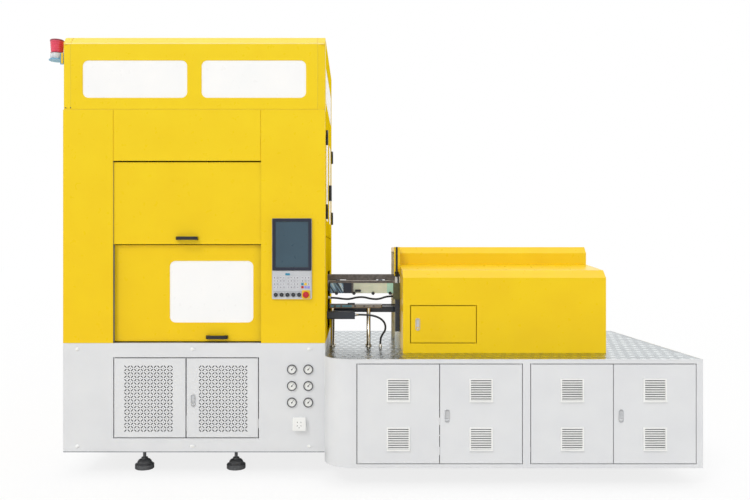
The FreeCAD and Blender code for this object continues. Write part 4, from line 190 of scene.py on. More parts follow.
MATERIALS = {
    # polyester powder coat, sprayed dry and baked: its orange peel gives soft, broad highlights
    "yellow_enamel": yellow_coat("yellow powder coat", 0.3),
    # the same coat on the side, with a matt finish: deep yellow without a highlight
    "yellow_side": yellow_coat("matt yellow powder coat", 0.0),
    # powder coat with painted shade, laid in pressed folds and a seam: a darker line
    "yellow_painted_shade": coat("yellow powder coat with painted shade", "#ecce00", "#e6c600", 0.4),
    # powder coat with a painted highlight, on a bend and on the covers' end face: a pale edge
    "yellow_painted_highlight": coat("yellow powder coat with painted highlight", "#fbe88c", "#f9e37e", 0.3),
    # light grey powder coat, baked: even and soft, with slightly round edges
    "grey_enamel": coat("light grey powder coat", "#e3e4e5", "#dedfe1", 0.4, fold=0.002),
    # die cast and zinc plated: dull metal with a cloudy sheen
    "lock_zinc": coat("zinc plate", "#c9cacc", "#b9bbbe", 0.35, 0.8, mottle=0.02),
    # injection moulded in a spark-eroded mould: a fine grain that breaks up the highlight
    "black_plastic": coat("black moulded plastic", "#0b0e15", "#11141b", 0.35, grain=0.0006, fold=0.001),
    # red plastic, dyed through and injection moulded: even colour with a small highlight
    "stop_red": coat("red moulded plastic", "#c81c2a", "#b81824", 0.25, grain=0.0006, fold=0.001),
    # moulded polycarbonate with a polished outside: bright red with a sharp reflection
    "beacon_red": coat("red polycarbonate", "#ec4a66", "#e03a58", 0.2, mottle=0.03,
                       relief=0.0).set(Coat_Weight=0.5),
    # moulded white polycarbonate: satin, a little grey in its shade
    "beacon_white": coat("white polycarbonate", "#dcdedf", "#cfd3d6", 0.3, mottle=0.04),
    # injection moulded urea plastic: near white with a faint grain
    "white_plastic": coat("white moulded plastic", "#f6f6f4", "#f0f0ee", 0.3, grain=0.0006, fold=0.001),
    # turned and anodised dark: grey metal with a soft ring of light
    "gauge_steel": coat("dark anodised rim", "#55565a", "#46474b", 0.35, 0.6, mottle=0.01),
    # polyester film, printed on its back: flat, pale and slightly cloudy
    "control_paint": coat("pale panel film", "#c9cbce", "#c1c3c7", 0.4, mottle=0.05),
    # extruded opal sheet: milky white, which hides what is behind it
    "clear_sheet": coat("opal polycarbonate sheet", "#fffefc", "#fbfbfa", 0.3, relief=0.0),
    # brushed paint on welded tube: grey and rather dull
    "frame_paint": coat("grey frame paint", "#8c8f94", "#7d8085", 0.5),
    # painted sand casting: a rough skin that scatters the light
    "foot_metal": coat("grey painted casting", "#6a6b6c", "#58595b", 0.5, mottle=0.03, relief=0.0006),
    # hot rolled steel: bright and cloudy, with fine scratches
    "chequer_steel": tread_plate(),
    # sprayed gloss paint under a thin lacquer: dark with a narrow reflection
    "navy_paint": coat("navy gloss paint", "#1b2636", "#152030", 0.3, fold=0.001).set(Coat_Weight=0.3),
    # milled steel with a film of oil: warm grey with a satin gleam
    "tool_steel": coat("machined steel", "#8e8880", "#7c766e", 0.3, 0.9, mottle=0.05),
    # grey iron casting under sprayed paint: matt blue grey
    "press_iron": coat("painted press iron", "#6a7078", "#5d636b", 0.45),
    # sprayed machine paint on sheet and castings: matt blue grey
    "equipment_paint": coat("blue grey machine paint", "#6e7a86", "#626e7a", 0.45),
    # extruded rubber: black and dull with a faint line of light
    "hose_rubber": coat("black hose rubber", "#0c0d10", "#15171a", 0.5, mottle=0.02),
    # coated glass over a switched-off display: blue grey with little glare
    "screen_glass": display_glass(),
    # injection moulded frame: dark blue with a fine grain
    "navy_bezel": coat("navy moulded bezel", "#0e1830", "#0a1226", 0.3, grain=0.0006, fold=0.001),
    # screen printed ink: flat grey signs on the keys
    "key_grey": coat("grey key print", "#85868e", "#787981", 0.4, mottle=0.01),
    # embossed polyester keys: a shade lighter than the film around them
    "key_pale": coat("pale key print", "#dedee1", "#d6d6da", 0.4, mottle=0.02),
    # cut edge of cast acrylic, which gathers light: pale teal, slightly see-through
    "pane_teal": clear_pane("teal acrylic edge", "#b9e6da", "#a6dccf", 0.1),
    # screen printed ink under film: teal with a soft sheen
    "key_teal": coat("teal key print", "#2f8fb4", "#27809f", 0.35, mottle=0.01),
    # screen printed ink under film: lilac with a soft sheen
    "key_lilac": coat("lilac key print", "#9a96e6", "#8c88da", 0.35, mottle=0.01),
    # injection moulded plate: warm yellow with a fine grain
    "stop_yellow": coat("yellow moulded plate", "#f6cc10", "#efc408", 0.35, grain=0.0006),
    # stove enamelled tin: clean white and smooth
    "dial_white": coat("white dial enamel", "#fbfbf8", "#f4f4f0", 0.35, mottle=0.01, relief=0.0),
    # printed dial ink: flat mid grey
    "dial_grey": coat("grey dial print", "#8f9296", "#85888c", 0.4, mottle=0.01, relief=0.0),
    # thick rim of moulded polycarbonate: dark, as light passes through more of it
    "beacon_red_dark": coat("dark red polycarbonate", "#8e1830", "#7a1228", 0.25, mottle=0.02, relief=0.0),
    # smoked cast acrylic with polished faces: dark olive, which also stands in for the shade there, with clear
    # reflections
    "smoked_olive_shade": coat("smoked acrylic block with painted shade", "#55583a", "#474b30", 0.2, mottle=0.02, relief=0.0),
    # sawn steel edge with old oil: brown grey and half dull
    "table_edge": coat("oily steel edge", "#7b6a54", "#6a5a46", 0.35, 0.5, mottle=0.02),
    # steel plated with blue chromate: light blue with a thin metal sheen
    "bracket_blue": coat("blue chromate plate", "#6cb0d4", "#5498bc", 0.3, 0.1, mottle=0.02),
    # drawn and polished tube: mirror bright, with long streaks of its surroundings
    "polished_tube": coat("polished tube", "#e6e0d2", "#d2ccbe", 0.14, 1.0, mottle=0.03, relief=0.0),
    # brushed steel bar: dark warm grey with a drawn-out gleam
    "bar_steel": coat("brushed bar", "#6d6763", "#55504d", 0.3, 0.7, mottle=0.02),
    # worn steel sheet: beige grey, scuffed to a soft shine
    "table_beige": coat("worn table steel", "#938c82", "#7d766c", 0.3, 0.6, mottle=0.03),
    # plastic masking film stuck on the edge: teal blue and satin
    "table_blue": coat("blue masking film", "#5f9cb8", "#477f9b", 0.25, mottle=0.03),
    # painted shade behind the louvre slats: dark and dull, so that the gaps read as deep
    "louvre_gap_shade": coat("painted shade in the louvre gaps", "#3c3f43", "#34373b", 0.6),
    # tops of the rolled lozenges, worn bright by shoes and lighter still as painted highlight: light points on
    # the plate
    "worn_and_highlight_steel": coat("worn tread top with painted highlight", "#ccd1d1", "#bcc2c2", 0.2, 1.0, mottle=0.05, relief=0.0),
    # dark acrylic sheet with painted reflections: slanted white and dark blue streaks
    "pane_painted_reflections": reflection_streaked_pane(),
    # tinted cast acrylic: pale green, slightly see-through
    "pane_green": clear_pane("green tinted acrylic", "#e4e9d8", "#d8e2d0", 0.1),
    # needled fibre mat behind the slots: nearly black and without any shine
    "filter_mat": coat("black filter mat", "#2b2d30", "#232528", 0.9, grain=0.004, relief=0.001),
    # moulded cable cover: cool white and satin
    "pane_pale": coat("pale cable cover", "#f4f6fa", "#e6eef6", 0.3, mottle=0.05),
}
MATERIALS = {name: finish.owner for name, finish in MATERIALS.items()}


def dress(obj, *names):
    """Gives an object its materials in order. A mesh without materials keeps its faces' numbers."""
    if obj.data.materials:
        obj.data.materials.clear()
    for name in names:
        obj.data.materials.append(MATERIALS[name])


for name, node in NODES.items():
    dress(node, SLOT_OF[name])


# ---------------------------------------------------------------- hoses
def hose_curve(name, points, radius):
    """A NURBS tube through the hose's route points."""
    data = bpy.data.curves.new(name, "CURVE")
    data.dimensions = "3D"
    data.bevel_depth = radius
    data.bevel_resolution = 4
    data.resolution_u = 10
    data.use_fill_caps = True
    spline = data.splines.new("NURBS")
    spline.points.add(len(points) - 1)
    for target, point in zip(spline.points, points):
        target.co = (*point, 1)
    spline.order_u = 3
    spline.use_endpoint_u = True
    obj = bpy.data.objects.new(name, data)
    scene.collection.objects.link(obj)
    dress(obj, "hose_rubber")
    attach(obj, "root")
    return obj


def route(start, offsets, end, rise=None):
    """Route points in metres from a start and offsets in millimetres."""
    points = [start] + [tuple(a + b / 1000 for a, b in zip(start, step)) for step in offsets]
    if rise:
        points.append((end[0], end[1], end[2] + rise))
    return points + [end]


DRAIN_START, DRAIN_END = (-0.032, -0.254, 1.039), (0.124, -0.254, 0.832)
DRAIN = route(DRAIN_START, [(30, 0, 0), (70, 0, -2), (118, 0, -9), (164, -4, -30), (190, -8, -62),
                            (193, -8, -106),
                            (168, -5, -142)], DRAIN_END, 0.034)
LINE_START, LINE_END = (-0.228, -0.149, 1.152), (0.241, -0.149, 1.164)
LINE = route(LINE_START, [(38, 0, 0), (84, 0, -8), (134, 2, -10), (184, 2, 4), (236, 0, 6), (290, -2, -8),
                          (344, -2, -10), (394, 0, 8), (436, 0, 12)], LINE_END)
for name, points, start, length in (("drain", DRAIN, DRAIN_START, 0.362), ("line", LINE, LINE_START, 0.475)):
    hose = hose_curve(f"{name}_rubber_hose", points, 0.007)
    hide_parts(f"{name}_hose")


# ---------------------------------------------------------------- shaping tools
UP = Matrix.Identity(4)
TO_FRONT = Matrix.Rotation(math.radians(90), 4, "X")
TO_RIGHT = Matrix.Rotation(math.radians(90), 4, "Y")

# front faces of the tower, the low cabinet and the covers, and the top of the cabinet's deck
TOWER_FRONT, CABINET_FRONT, DECK_TOP = -0.609, -0.859, 0.808
COVER_FRONT = -0.559
# edges that are folded more than this count as rims
RIM_ANGLE = 1.2


def spot(x, y, z):
    """The move that puts a part on a place, in metres."""
    return Matrix.Translation((x, y, z))


def corners_of(made):
    """The vertices among what an operator made."""
    return [v for v in made if isinstance(v, bmesh.types.BMVert)]


def whole(mesh):
    """All of a mesh, for the operators that cut it."""
    return mesh.verts[:] + mesh.edges[:] + mesh.faces[:]


def round_off(part, edges, width, steps=2):
    """Rounds edges of a part."""
    bmesh.ops.bevel(part, geom=list(edges), offset=width, offset_type="OFFSET", segments=steps, profile=0.5,
                    affect="EDGES", material=-1, clamp_overlap=True)


def block(low, high, edge=0.0, steps=2):
    """A box between two corners, with all its edges rounded."""
    part = bmesh.new()
    bmesh.ops.create_cube(part, size=1)
    bmesh.ops.scale(part, vec=Vector(high) - Vector(low), verts=part.verts)
    bmesh.ops.translate(part, vec=(Vector(low) + Vector(high)) / 2, verts=part.verts)
    if edge:
        round_off(part, part.edges[:], edge, steps)
    return part


def pad(low, high, radius, edge=0.0, along=1, steps=6):
    """A box with round corners seen along one axis (0, 1 or 2), and with its rims eased."""
    part = block(low, high)
    long = [e for e in part.edges if abs((e.verts[0].co - e.verts[1].co)[along]) > 1e-7]
    round_off(part, long, radius, steps)
    if edge:
        round_off(part, [e for e in part.edges if e.calc_face_angle(0) > RIM_ANGLE], edge)
    return part


def turned(profile, at, way=UP, steps=40):
    """A piece turned on a lathe from (radius, height) pairs. It stands on a point and looks one way."""
    part = bmesh.new()
    line = [part.verts.new((radius, 0, height)) for radius, height in profile]
    sides = [part.edges.new(pair) for pair in zip(line, line[1:])]
    bmesh.ops.spin(part, geom=line + sides, cent=(0, 0, 0), axis=(0, 0, 1), angle=math.tau, steps=steps,
                   use_merge=True)
    bmesh.ops.remove_doubles(part, verts=part.verts, dist=1e-6)
    bmesh.ops.recalc_face_normals(part, faces=part.faces)
    part.transform(Matrix.Translation(at) @ way)
    return part


def pin(radius, height, at, way=UP, steps=16):
    """A plain round pin."""
    return turned([(0, 0), (radius, 0), (radius, height), (0, height)], at, way, steps)


def ring(x, y, z, border, radius=0.0, edge=0.0):
    """A flat frame that looks forward: x, y and z are its (low, high) pairs, border is its width."""
    part = bmesh.new()
    corners = [part.verts.new((a, y[1], b))
               for a, b in ((x[0], z[0]), (x[1], z[0]), (x[1], z[1]), (x[0], z[1]))]
    part.faces.new(corners)
    if radius:
        bmesh.ops.bevel(part, geom=part.verts[:], offset=radius, offset_type="OFFSET", segments=6,
                        profile=0.5, affect="VERTICES", material=-1)
    part.normal_update()
    middle = part.faces[:]
    bmesh.ops.inset_region(part, faces=middle, thickness=border, use_even_offset=True, use_boundary=True)
    bmesh.ops.delete(part, geom=middle, context="FACES")
    made = bmesh.ops.extrude_face_region(part, geom=part.faces[:])["geom"]
    bmesh.ops.translate(part, vec=(0, y[0] - y[1], 0), verts=corners_of(made))
    bmesh.ops.recalc_face_normals(part, faces=part.faces)
    if edge:
        round_off(part, [e for e in part.edges if e.calc_face_angle(0) > RIM_ANGLE], edge)
    return part


def drawn(points, low, high, axis=0):
    """A bar with a profile drawn in the other two axes, from low to high along one axis."""
    part = bmesh.new()
    order = {0: lambda a, b: (low, a, b), 1: lambda a, b: (a, low, b), 2: lambda a, b: (a, b, low)}[axis]
    face = part.faces.new([part.verts.new(order(a, b)) for a, b in points])
    made = bmesh.ops.extrude_face_region(part, geom=[face])["geom"]
    shift = [0, 0, 0]
    shift[axis] = high - low
    bmesh.ops.translate(part, vec=shift, verts=corners_of(made))
    bmesh.ops.recalc_face_normals(part, faces=part.faces)
    return part


class Piece:
    """A visible piece that is put together from parts, each with one of the piece's materials."""

    def __init__(self, name, *materials, body="root", slot=None, stands_for=()):
        self.name, self.materials, self.body = name, materials, body
        self.slot, self.stands_for = slot or materials[0], stands_for
        self.mesh = bmesh.new()

    def add(self, part, number=0, at=None):
        """Takes a part into the piece, moved by a matrix. The part itself is left as it was."""
        copy = bpy.data.meshes.new("part")
        part.to_mesh(copy)
        if at is not None:
            copy.transform(at)
        copy.polygons.foreach_set("material_index", [number] * len(copy.polygons))
        self.mesh.from_mesh(copy)
        bpy.data.meshes.remove(copy)
        return self

    def done(self, sharp=35):
        """Turns the piece into an object that rides on its body."""
        data = bpy.data.meshes.new(self.name)
        self.mesh.to_mesh(data)
        self.mesh.free()
        data.polygons.foreach_set("use_smooth", [True] * len(data.polygons))
        data.set_sharp_from_angle(angle=math.radians(sharp))
        # broad flat faces stay flat, so that the rounding of their edges doesn't shade them
        flat = [max(map(abs, face.normal)) > 0.9999 and face.area > 1e-4 for face in data.polygons]
        data.polygons.foreach_set("use_smooth", [not level for level in flat])
        obj = bpy.data.objects.new(self.name, data)
        scene.collection.objects.link(obj)
        dress(obj, *self.materials)
        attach(obj, self.body)
        if self.stands_for:
            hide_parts(*self.stands_for)
        return obj


def merged(node):
    """A merged copy of a CAD node's mesh."""
    copy = bmesh.new()
    copy.from_mesh(NODES[node].data)
    for face in copy.faces:
        face.material_index = 0
    bmesh.ops.remove_doubles(copy, verts=copy.verts, dist=2e-6)
    return copy


def inside(point, low, high):
    return all(a <= p <= b for p, a, b in zip(point, low, high))


def islands(mesh):
    """The separate solids of a merged mesh, each a list of vertices."""
    left, found = set(mesh.verts), []
    while left:
        start = left.pop()
        solid, edge = [start], [start]
        while edge:
            for link in edge.pop().link_edges:
                for other in link.verts:
                    if other in left:
                        left.remove(other)
                        solid.append(other)
                        edge.append(other)
        found.append(solid)
    return found


def wholly(solid, low, high):
    return all(inside(v.co, low, high) for v in solid)


def paint(mesh, number, low, high):
    """Gives the faces whose middle lies in a box another material of the piece."""
    for face in mesh.faces:
        if inside(face.calc_center_median(), low, high):
            face.material_index = number


def mark(solid, number):
    """Gives all the faces of one solid another material of the piece."""
    for vertex in solid:
        for face in vertex.link_faces:
            face.material_index = number


def take_out(mesh, low, high):
    """Removes the solids that lie wholly in a box, where finer ones stand instead."""
    gone = [v for solid in islands(mesh) if wholly(solid, low, high) for v in solid]
    bmesh.ops.delete(mesh, geom=gone, context="VERTS")


def slice_at(mesh, axis, level):
    """Cuts the mesh's faces along a plane, so that each side can have its own material."""
    way = [0, 0, 0]
    way[axis] = 1
    bmesh.ops.bisect_plane(mesh, geom=whole(mesh), dist=1e-6,
                           plane_co=[level * w for w in way], plane_no=way)


def dressed_copy(name, mesh, *materials, body, stands_for, slot=None):
    """A node's copy with several materials, in place of the node."""
    piece = Piece(name, *materials, body=body, slot=slot, stands_for=[stands_for])
    piece.mesh.free()
    piece.mesh = mesh
    return piece.done()


# ---------------------------------------------------------------- tower: hood, doors, right side
def hood_pieces():
    """Two dark screws at the foot of the left fold line, the fold lines and the seam filler in a darker yellow
    of painted shade, and the top bend as a pale bead of painted highlight.
    """
    screws = Piece("hood_screws", "gauge_steel", slot="lock_zinc")
    head = turned([(0, 0), (0.0042, 0), (0.0038, 0.0016), (0, 0.0022)], (0, 0, 0), TO_FRONT, 12)
    for x in (-1.965, -1.932):
        screws.add(head, at=spot(x, TOWER_FRONT, 2.4345))
    screws.done()
    folds = Piece("hood_fold_shade_and_highlight", "yellow_painted_shade", "yellow_painted_highlight", slot="yellow_enamel")
    for x in (-1.932, -0.302):
        folds.add(block((x - 0.0035, -0.6093, 2.44), (x + 0.0035, -0.608, 2.852), 0.0003))
    folds.add(block((-1.978, -0.6078, 2.4205), (-0.256, -0.6005, 2.4265)))
    folds.add(pin(0.0045, 1.72, (-1.977, -0.6055, 2.858), TO_RIGHT, 12), 1)
    folds.done()


def base_screws():
    """White caps over the six panel screws of the base, and a grey strip along its lower edge: partly the
    frame's own edge, partly painted shade under the base.
    """
    caps = Piece("base_screw_caps", "white_plastic")
    cap = turned([(0, 0.0005), (0.0115, 0.0005), (0.0115, 0.003), (0.009, 0.0058), (0.004, 0.0072),
                  (0, 0.0075)], (0, 0, 0), TO_FRONT, 24)
    for x in (-1.888, -1.13, -0.3595):
        for z in (0.2, 0.841):
            caps.add(cap, at=spot(x, TOWER_FRONT, z))
    caps.done()
    foot = Piece("base_lower_edge_shade", "frame_paint")
    # a strip of grey frame paint that also stands for the shade under the base
    foot.add(block((-1.98, -0.6105, 0.1602), (-0.256, -0.6, 0.1655), 0.0008))
    foot.done()


def right_side():
    """Black hinges and grips on the yellow side: copies of their nodes with several materials."""
    outside = (-0.2515, -0.7, 0.8), (-0.2, 0.7, 3)
    housing = merged("enclosure_panels")
    paint(housing, 1, *outside)
    paint(housing, 2, (-0.2515, -0.2, 1.1), (-0.2, -0.1, 1.2))
    paint(housing, 3, (-0.256, -0.6, 0.8), (-0.2515, 0.7, 3))
    dressed_copy("tower_housing", housing, "yellow_enamel", "black_plastic", "lock_zinc", "yellow_side",
                 body="root", stands_for="enclosure_panels")
    for end in ("front", "rear"):
        leaf = merged(f"side_door_{end}")
        paint(leaf, 1, *outside)
        for solid in islands(leaf):
            depth = max(v.co.x for v in solid) - min(v.co.x for v in solid)
            if depth < 0.005:
                mark(solid, 2)
        dressed_copy(f"side_door_{end}_leaf", leaf, "yellow_side", "black_plastic", "clear_sheet",
                     body=f"side_door_{end}", stands_for=f"side_door_{end}", slot="yellow_enamel")


# ---------------------------------------------------------------- beacon
def beacon_pieces():
    """White neck, blue plated bracket with its yellow strip, and the red lens with its two dark rims."""
    bracket = merged("beacon_base")
    for solid in islands(bracket):
        if min(v.co.z for v in solid) > 2.77:
            mark(solid, 1)
    dressed_copy("beacon_bracket", bracket, "bracket_blue", "beacon_white", body="root",
                 stands_for="beacon_base", slot="beacon_white")
    strip = Piece("beacon_bracket_strip", "stop_yellow", slot="yellow_enamel")
    strip.add(block((-2.0085, -0.5755, 2.735), (-1.9955, -0.5715, 2.806), 0.001))
    strip.done()
    at = (-2.056, -0.519, 2.812)
    rims = Piece("beacon_lens_rims", "beacon_red_dark", slot="beacon_red")
    rims.add(turned([(0.0405, 0), (0.042, 0), (0.0425, 0.002), (0.0425, 0.006), (0.0405, 0.008)], at))
    rims.add(turned([(0.0445, 0.082), (0.0462, 0.083), (0.0462, 0.089), (0.044, 0.0925), (0.03, 0.0932),
                     (0, 0.0932)], at))
    rims.done()


# ---------------------------------------------------------------- base: grille doors, gauges, socket
COLUMNS, ROWS = 15, 20
SLOT_PITCH_X, SLOT_PITCH_Z = 0.3265 / COLUMNS, 0.444 / ROWS
SHEET_THICK, FIELD_FOOT = 0.0015, 0.292


def slot_tile(lean):
    """One cell of the perforated sheet: a square with a round-ended slot that leans one way."""
    tile = bmesh.new()
    half_x, half_z, reach, wide = SLOT_PITCH_X / 2, SLOT_PITCH_Z / 2, 0.0072, 0.003
    corners = [tile.verts.new((x, 0, z)) for x, z in ((-half_x, -half_z), (half_x, -half_z), (half_x, half_z),
                                                      (-half_x, half_z))]
    rim = [tile.edges.new((corners[i - 1], corners[i])) for i in range(4)]
    ends = []
    for side in (1, -1):
        for step in range(4):
            angle = math.radians(-90 + 60 * step)
            ends.append(tile.verts.new((side * (reach + wide * math.cos(angle)), 0,
                                        side * wide * math.sin(angle))))
    bmesh.ops.rotate(tile, verts=ends, cent=(0, 0, 0), matrix=Matrix.Rotation(lean, 3, "Y"))
    rim += [tile.edges.new((ends[i - 1], ends[i])) for i in range(8)]
    bmesh.ops.triangle_fill(tile, edges=rim, use_beauty=True, normal=(0, -1, 0))
    return tile


def perforated_sheet(left, low, door, first):
    """The front sheet of a grille door: its plain border round 15 by 20 slots, 1.5 mm thick.

    first is 0 or 1, for the way in which the lowest left slot leans.
    """
    sheet = Piece("field", "grey_enamel")
    tiles = [slot_tile(math.radians(45)), slot_tile(math.radians(-45))]
    for i in range(COLUMNS):
        for j in range(ROWS):
            at = spot(left + (i + 0.5) * SLOT_PITCH_X, 0, low + (j + 0.5) * SLOT_PITCH_Z)
            sheet.add(tiles[(i + j + first) % 2], at=at)
    field = sheet.mesh
    bmesh.ops.remove_doubles(field, verts=field.verts, dist=1e-5)
    right, high = left + COLUMNS * SLOT_PITCH_X, low + ROWS * SLOT_PITCH_Z
    edge = [e for e in field.edges if e.is_boundary and all(
        min(abs(v.co.x - left), abs(v.co.x - right), abs(v.co.z - low),
            abs(v.co.z - high)) < 1e-5 for v in e.verts)]
    border = bmesh.ops.extrude_edge_only(field, edges=edge)["geom"]
    for vertex in corners_of(border):
        for axis, levels, ends in ((0, (left, right), door[:2]), (2, (low, high), door[2:])):
            for level, end in zip(levels, ends):
                if abs(vertex.co[axis] - level) < 1e-5:
                    vertex.co[axis] = end
    bmesh.ops.recalc_face_normals(field, faces=field.faces)
    made = bmesh.ops.extrude_face_region(field, geom=field.faces[:])["geom"]
    bmesh.ops.translate(field, vec=(0, -SHEET_THICK, 0), verts=corners_of(made))
    bmesh.ops.recalc_face_normals(field, faces=field.faces)
    return field


def grille_pieces():
    """Both perforated doors: sheet, folded returns and pins, and the lock housing on the right one."""
    for side, x0, x1 in (("left", -1.646, -1.1725), ("right", -1.1675, -0.694)):
        name = f"grille_door_{side}"
        leaf = Piece(f"{name}_sheet", "grey_enamel", "lock_zinc", "filter_mat", "black_plastic", body=name,
                     stands_for=[name])
        z0, z1, front = 0.257, 0.782, TOWER_FRONT
        field_left = -1.581 if side == "left" else -1.088
        first = 1 if side == "left" else 0
        sheet = perforated_sheet(field_left, FIELD_FOOT, (x0, x1, z0, z1), first)
        leaf.add(sheet, at=spot(0, front + SHEET_THICK, 0))
        for low, high in (((x0, front, z0), (x0 + 0.0025, front + 0.018, z1)),
                          ((x1 - 0.0025, front, z0), (x1, front + 0.018, z1)),
                          ((x0, front, z0), (x1, front + 0.018, z0 + 0.0025)),
                          ((x0, front, z1 - 0.0025), (x1, front + 0.018, z1))):
            leaf.add(block(low, high, 0.0006))
        leaf.add(block((field_left - 0.02, front + 0.006, 0.275),
                       (field_left + 0.3465, front + 0.014, 0.755)), 2)
        # thin dark discs of painted shade that read as the small round holes between the slots
        dot = pin(0.0026, 0.0004, (0, 0, 0), TO_FRONT, 8)
        for i in range(COLUMNS - 1):
            for j in range(ROWS - 1):
                if (i + j + first) % 2 == 0:
                    x, z = field_left + (i + 1) * SLOT_PITCH_X, FIELD_FOOT + (j + 1) * SLOT_PITCH_Z
                    leaf.add(dot, 3, at=spot(x, front, z))
        pin_x = x0 + 0.005 if side == "left" else x1 - 0.005
        for foot in (z0 - 0.009, z1 - 0.0025):
            leaf.add(pin(0.003, 0.0115, (pin_x, front + 0.005, foot), UP, 16), 1)
        if side == "right":
            housing = merged(name)
            take_out(housing, (x0 - 0.01, -0.62, 0.2), (x0 + 0.001, -0.5, 0.8))
            lock = [s for s in islands(housing) if wholly(s, (-1.14, -0.613, 0.46), (-1.105, -0.59, 0.545))]
            keep = {v for solid in lock for v in solid}
            bmesh.ops.delete(housing, geom=[v for v in housing.verts if v not in keep], context="VERTS")
            leaf.add(housing, 1)
        leaf.done()


GAUGE_PLACES = [(x, z) for z in (0.49, 0.599, 0.708) for x in (-0.471, -0.363)]


def gauge_pieces():
    """Six pressure gauges: pale flange, dark rim, and white dial with its scale."""
    flange = turned([(0, 0), (0.038, 0), (0.038, 0.002), (0.0365, 0.0035), (0.0305, 0.0035), (0.0305, -0.02),
                     (0, -0.02)], (0, 0, 0), TO_FRONT)
    rim = turned([(0.0262, 0.0075), (0.0262, 0.012), (0.0275, 0.0138), (0.0305, 0.0138), (0.0318, 0.012),
                  (0.0322, 0.003), (0.0262, 0.003), (0.0262, 0.0075)], (0, 0, 0), TO_FRONT)
    dial = turned([(0, 0.0075), (0.0266, 0.0075), (0.0266, 0.003), (0, 0.003)], (0, 0, 0), TO_FRONT)
    tick = block((-0.0004, -0.0080, 0.0205), (0.0004, -0.0074, 0.0242))
    small = block((-0.00025, -0.0080, 0.022), (0.00025, -0.0074, 0.0242))
    arc = turned([(0.0182, 0.0074), (0.0188, 0.0074), (0.0188, 0.0079), (0.0182, 0.0079), (0.0182, 0.0074)],
                 (0, 0, 0), TO_FRONT, 48)
    bmesh.ops.bisect_plane(arc, geom=whole(arc), plane_co=(0, 0, -0.008),
                           plane_no=(0.25, 0, -1), clear_outer=True)
    flanges = Piece("gauge_flanges", "grey_enamel", stands_for=["gauge_cases"])
    rims = Piece("gauge_rims", "gauge_steel")
    dials = Piece("gauge_dials", "dial_white", slot="white_plastic")
    scales = Piece("gauge_scales", "gauge_steel", "dial_grey")
    for x, z in GAUGE_PLACES:
        at = spot(x, TOWER_FRONT, z)
        flanges.add(flange, at=at)
        rims.add(rim, at=at)
        dials.add(dial, at=at)
        scales.add(arc, 1, at)
        for step in range(21):
            lean = Matrix.Rotation(math.radians(-135 + 13.5 * step), 4, "Y")
            scales.add(small if step % 5 else tick, 0, at @ lean)
    for piece in (flanges, rims, dials, scales):
        piece.done()


def socket_pieces():
    """The wall socket: a crowned white plate on its box, with a fine inner frame and dark slots."""
    x0, x1, z0, z1, front = -0.464, -0.378, 0.309, 0.395, -0.643
    plate = Piece("socket_plate", "white_plastic", stands_for=["socket_outlet"])
    plate.add(pad((x0, front, z0), (x1, front + 0.01, z1), 0.005, 0.0018))
    plate.add(pad((x0 + 0.004, front + 0.009, z0 + 0.004), (x1 - 0.004, TOWER_FRONT, z1 - 0.004), 0.003))
    plate.add(ring((x0 + 0.012, x1 - 0.012), (front - 0.0006, front + 0.0004), (z0 + 0.012, z1 - 0.012),
                   0.0012, 0.003))
    plate.done()
    slots = Piece("socket_slots", "black_plastic")
    middle, hole = (x0 + x1) / 2, (0.0016, 0.0075)
    for dx, dz, lean in ((-0.012, 0.056, 0), (0.012, 0.056, 0), (-0.0125, 0.033, 30), (0.0125, 0.033, -30),
                         (0, 0.021, 0)):
        slot = block((-hole[0], -0.0008, -hole[1] / 2), (hole[0], 0.0008, hole[1] / 2))
        turn = Matrix.Rotation(math.radians(lean), 4, "Y")
        slots.add(slot, at=spot(middle + dx, front, z0 + dz) @ turn)
    slots.done()


# ---------------------------------------------------------------- control panel
PANEL = (-0.601, -0.339, 1.172, 1.704)
PANEL_FRONT = -0.626
BUTTONS_X = [-0.576 + 0.0385 * i for i in range(5)]
BUTTON_Z = 1.201
STOP_X = -0.377


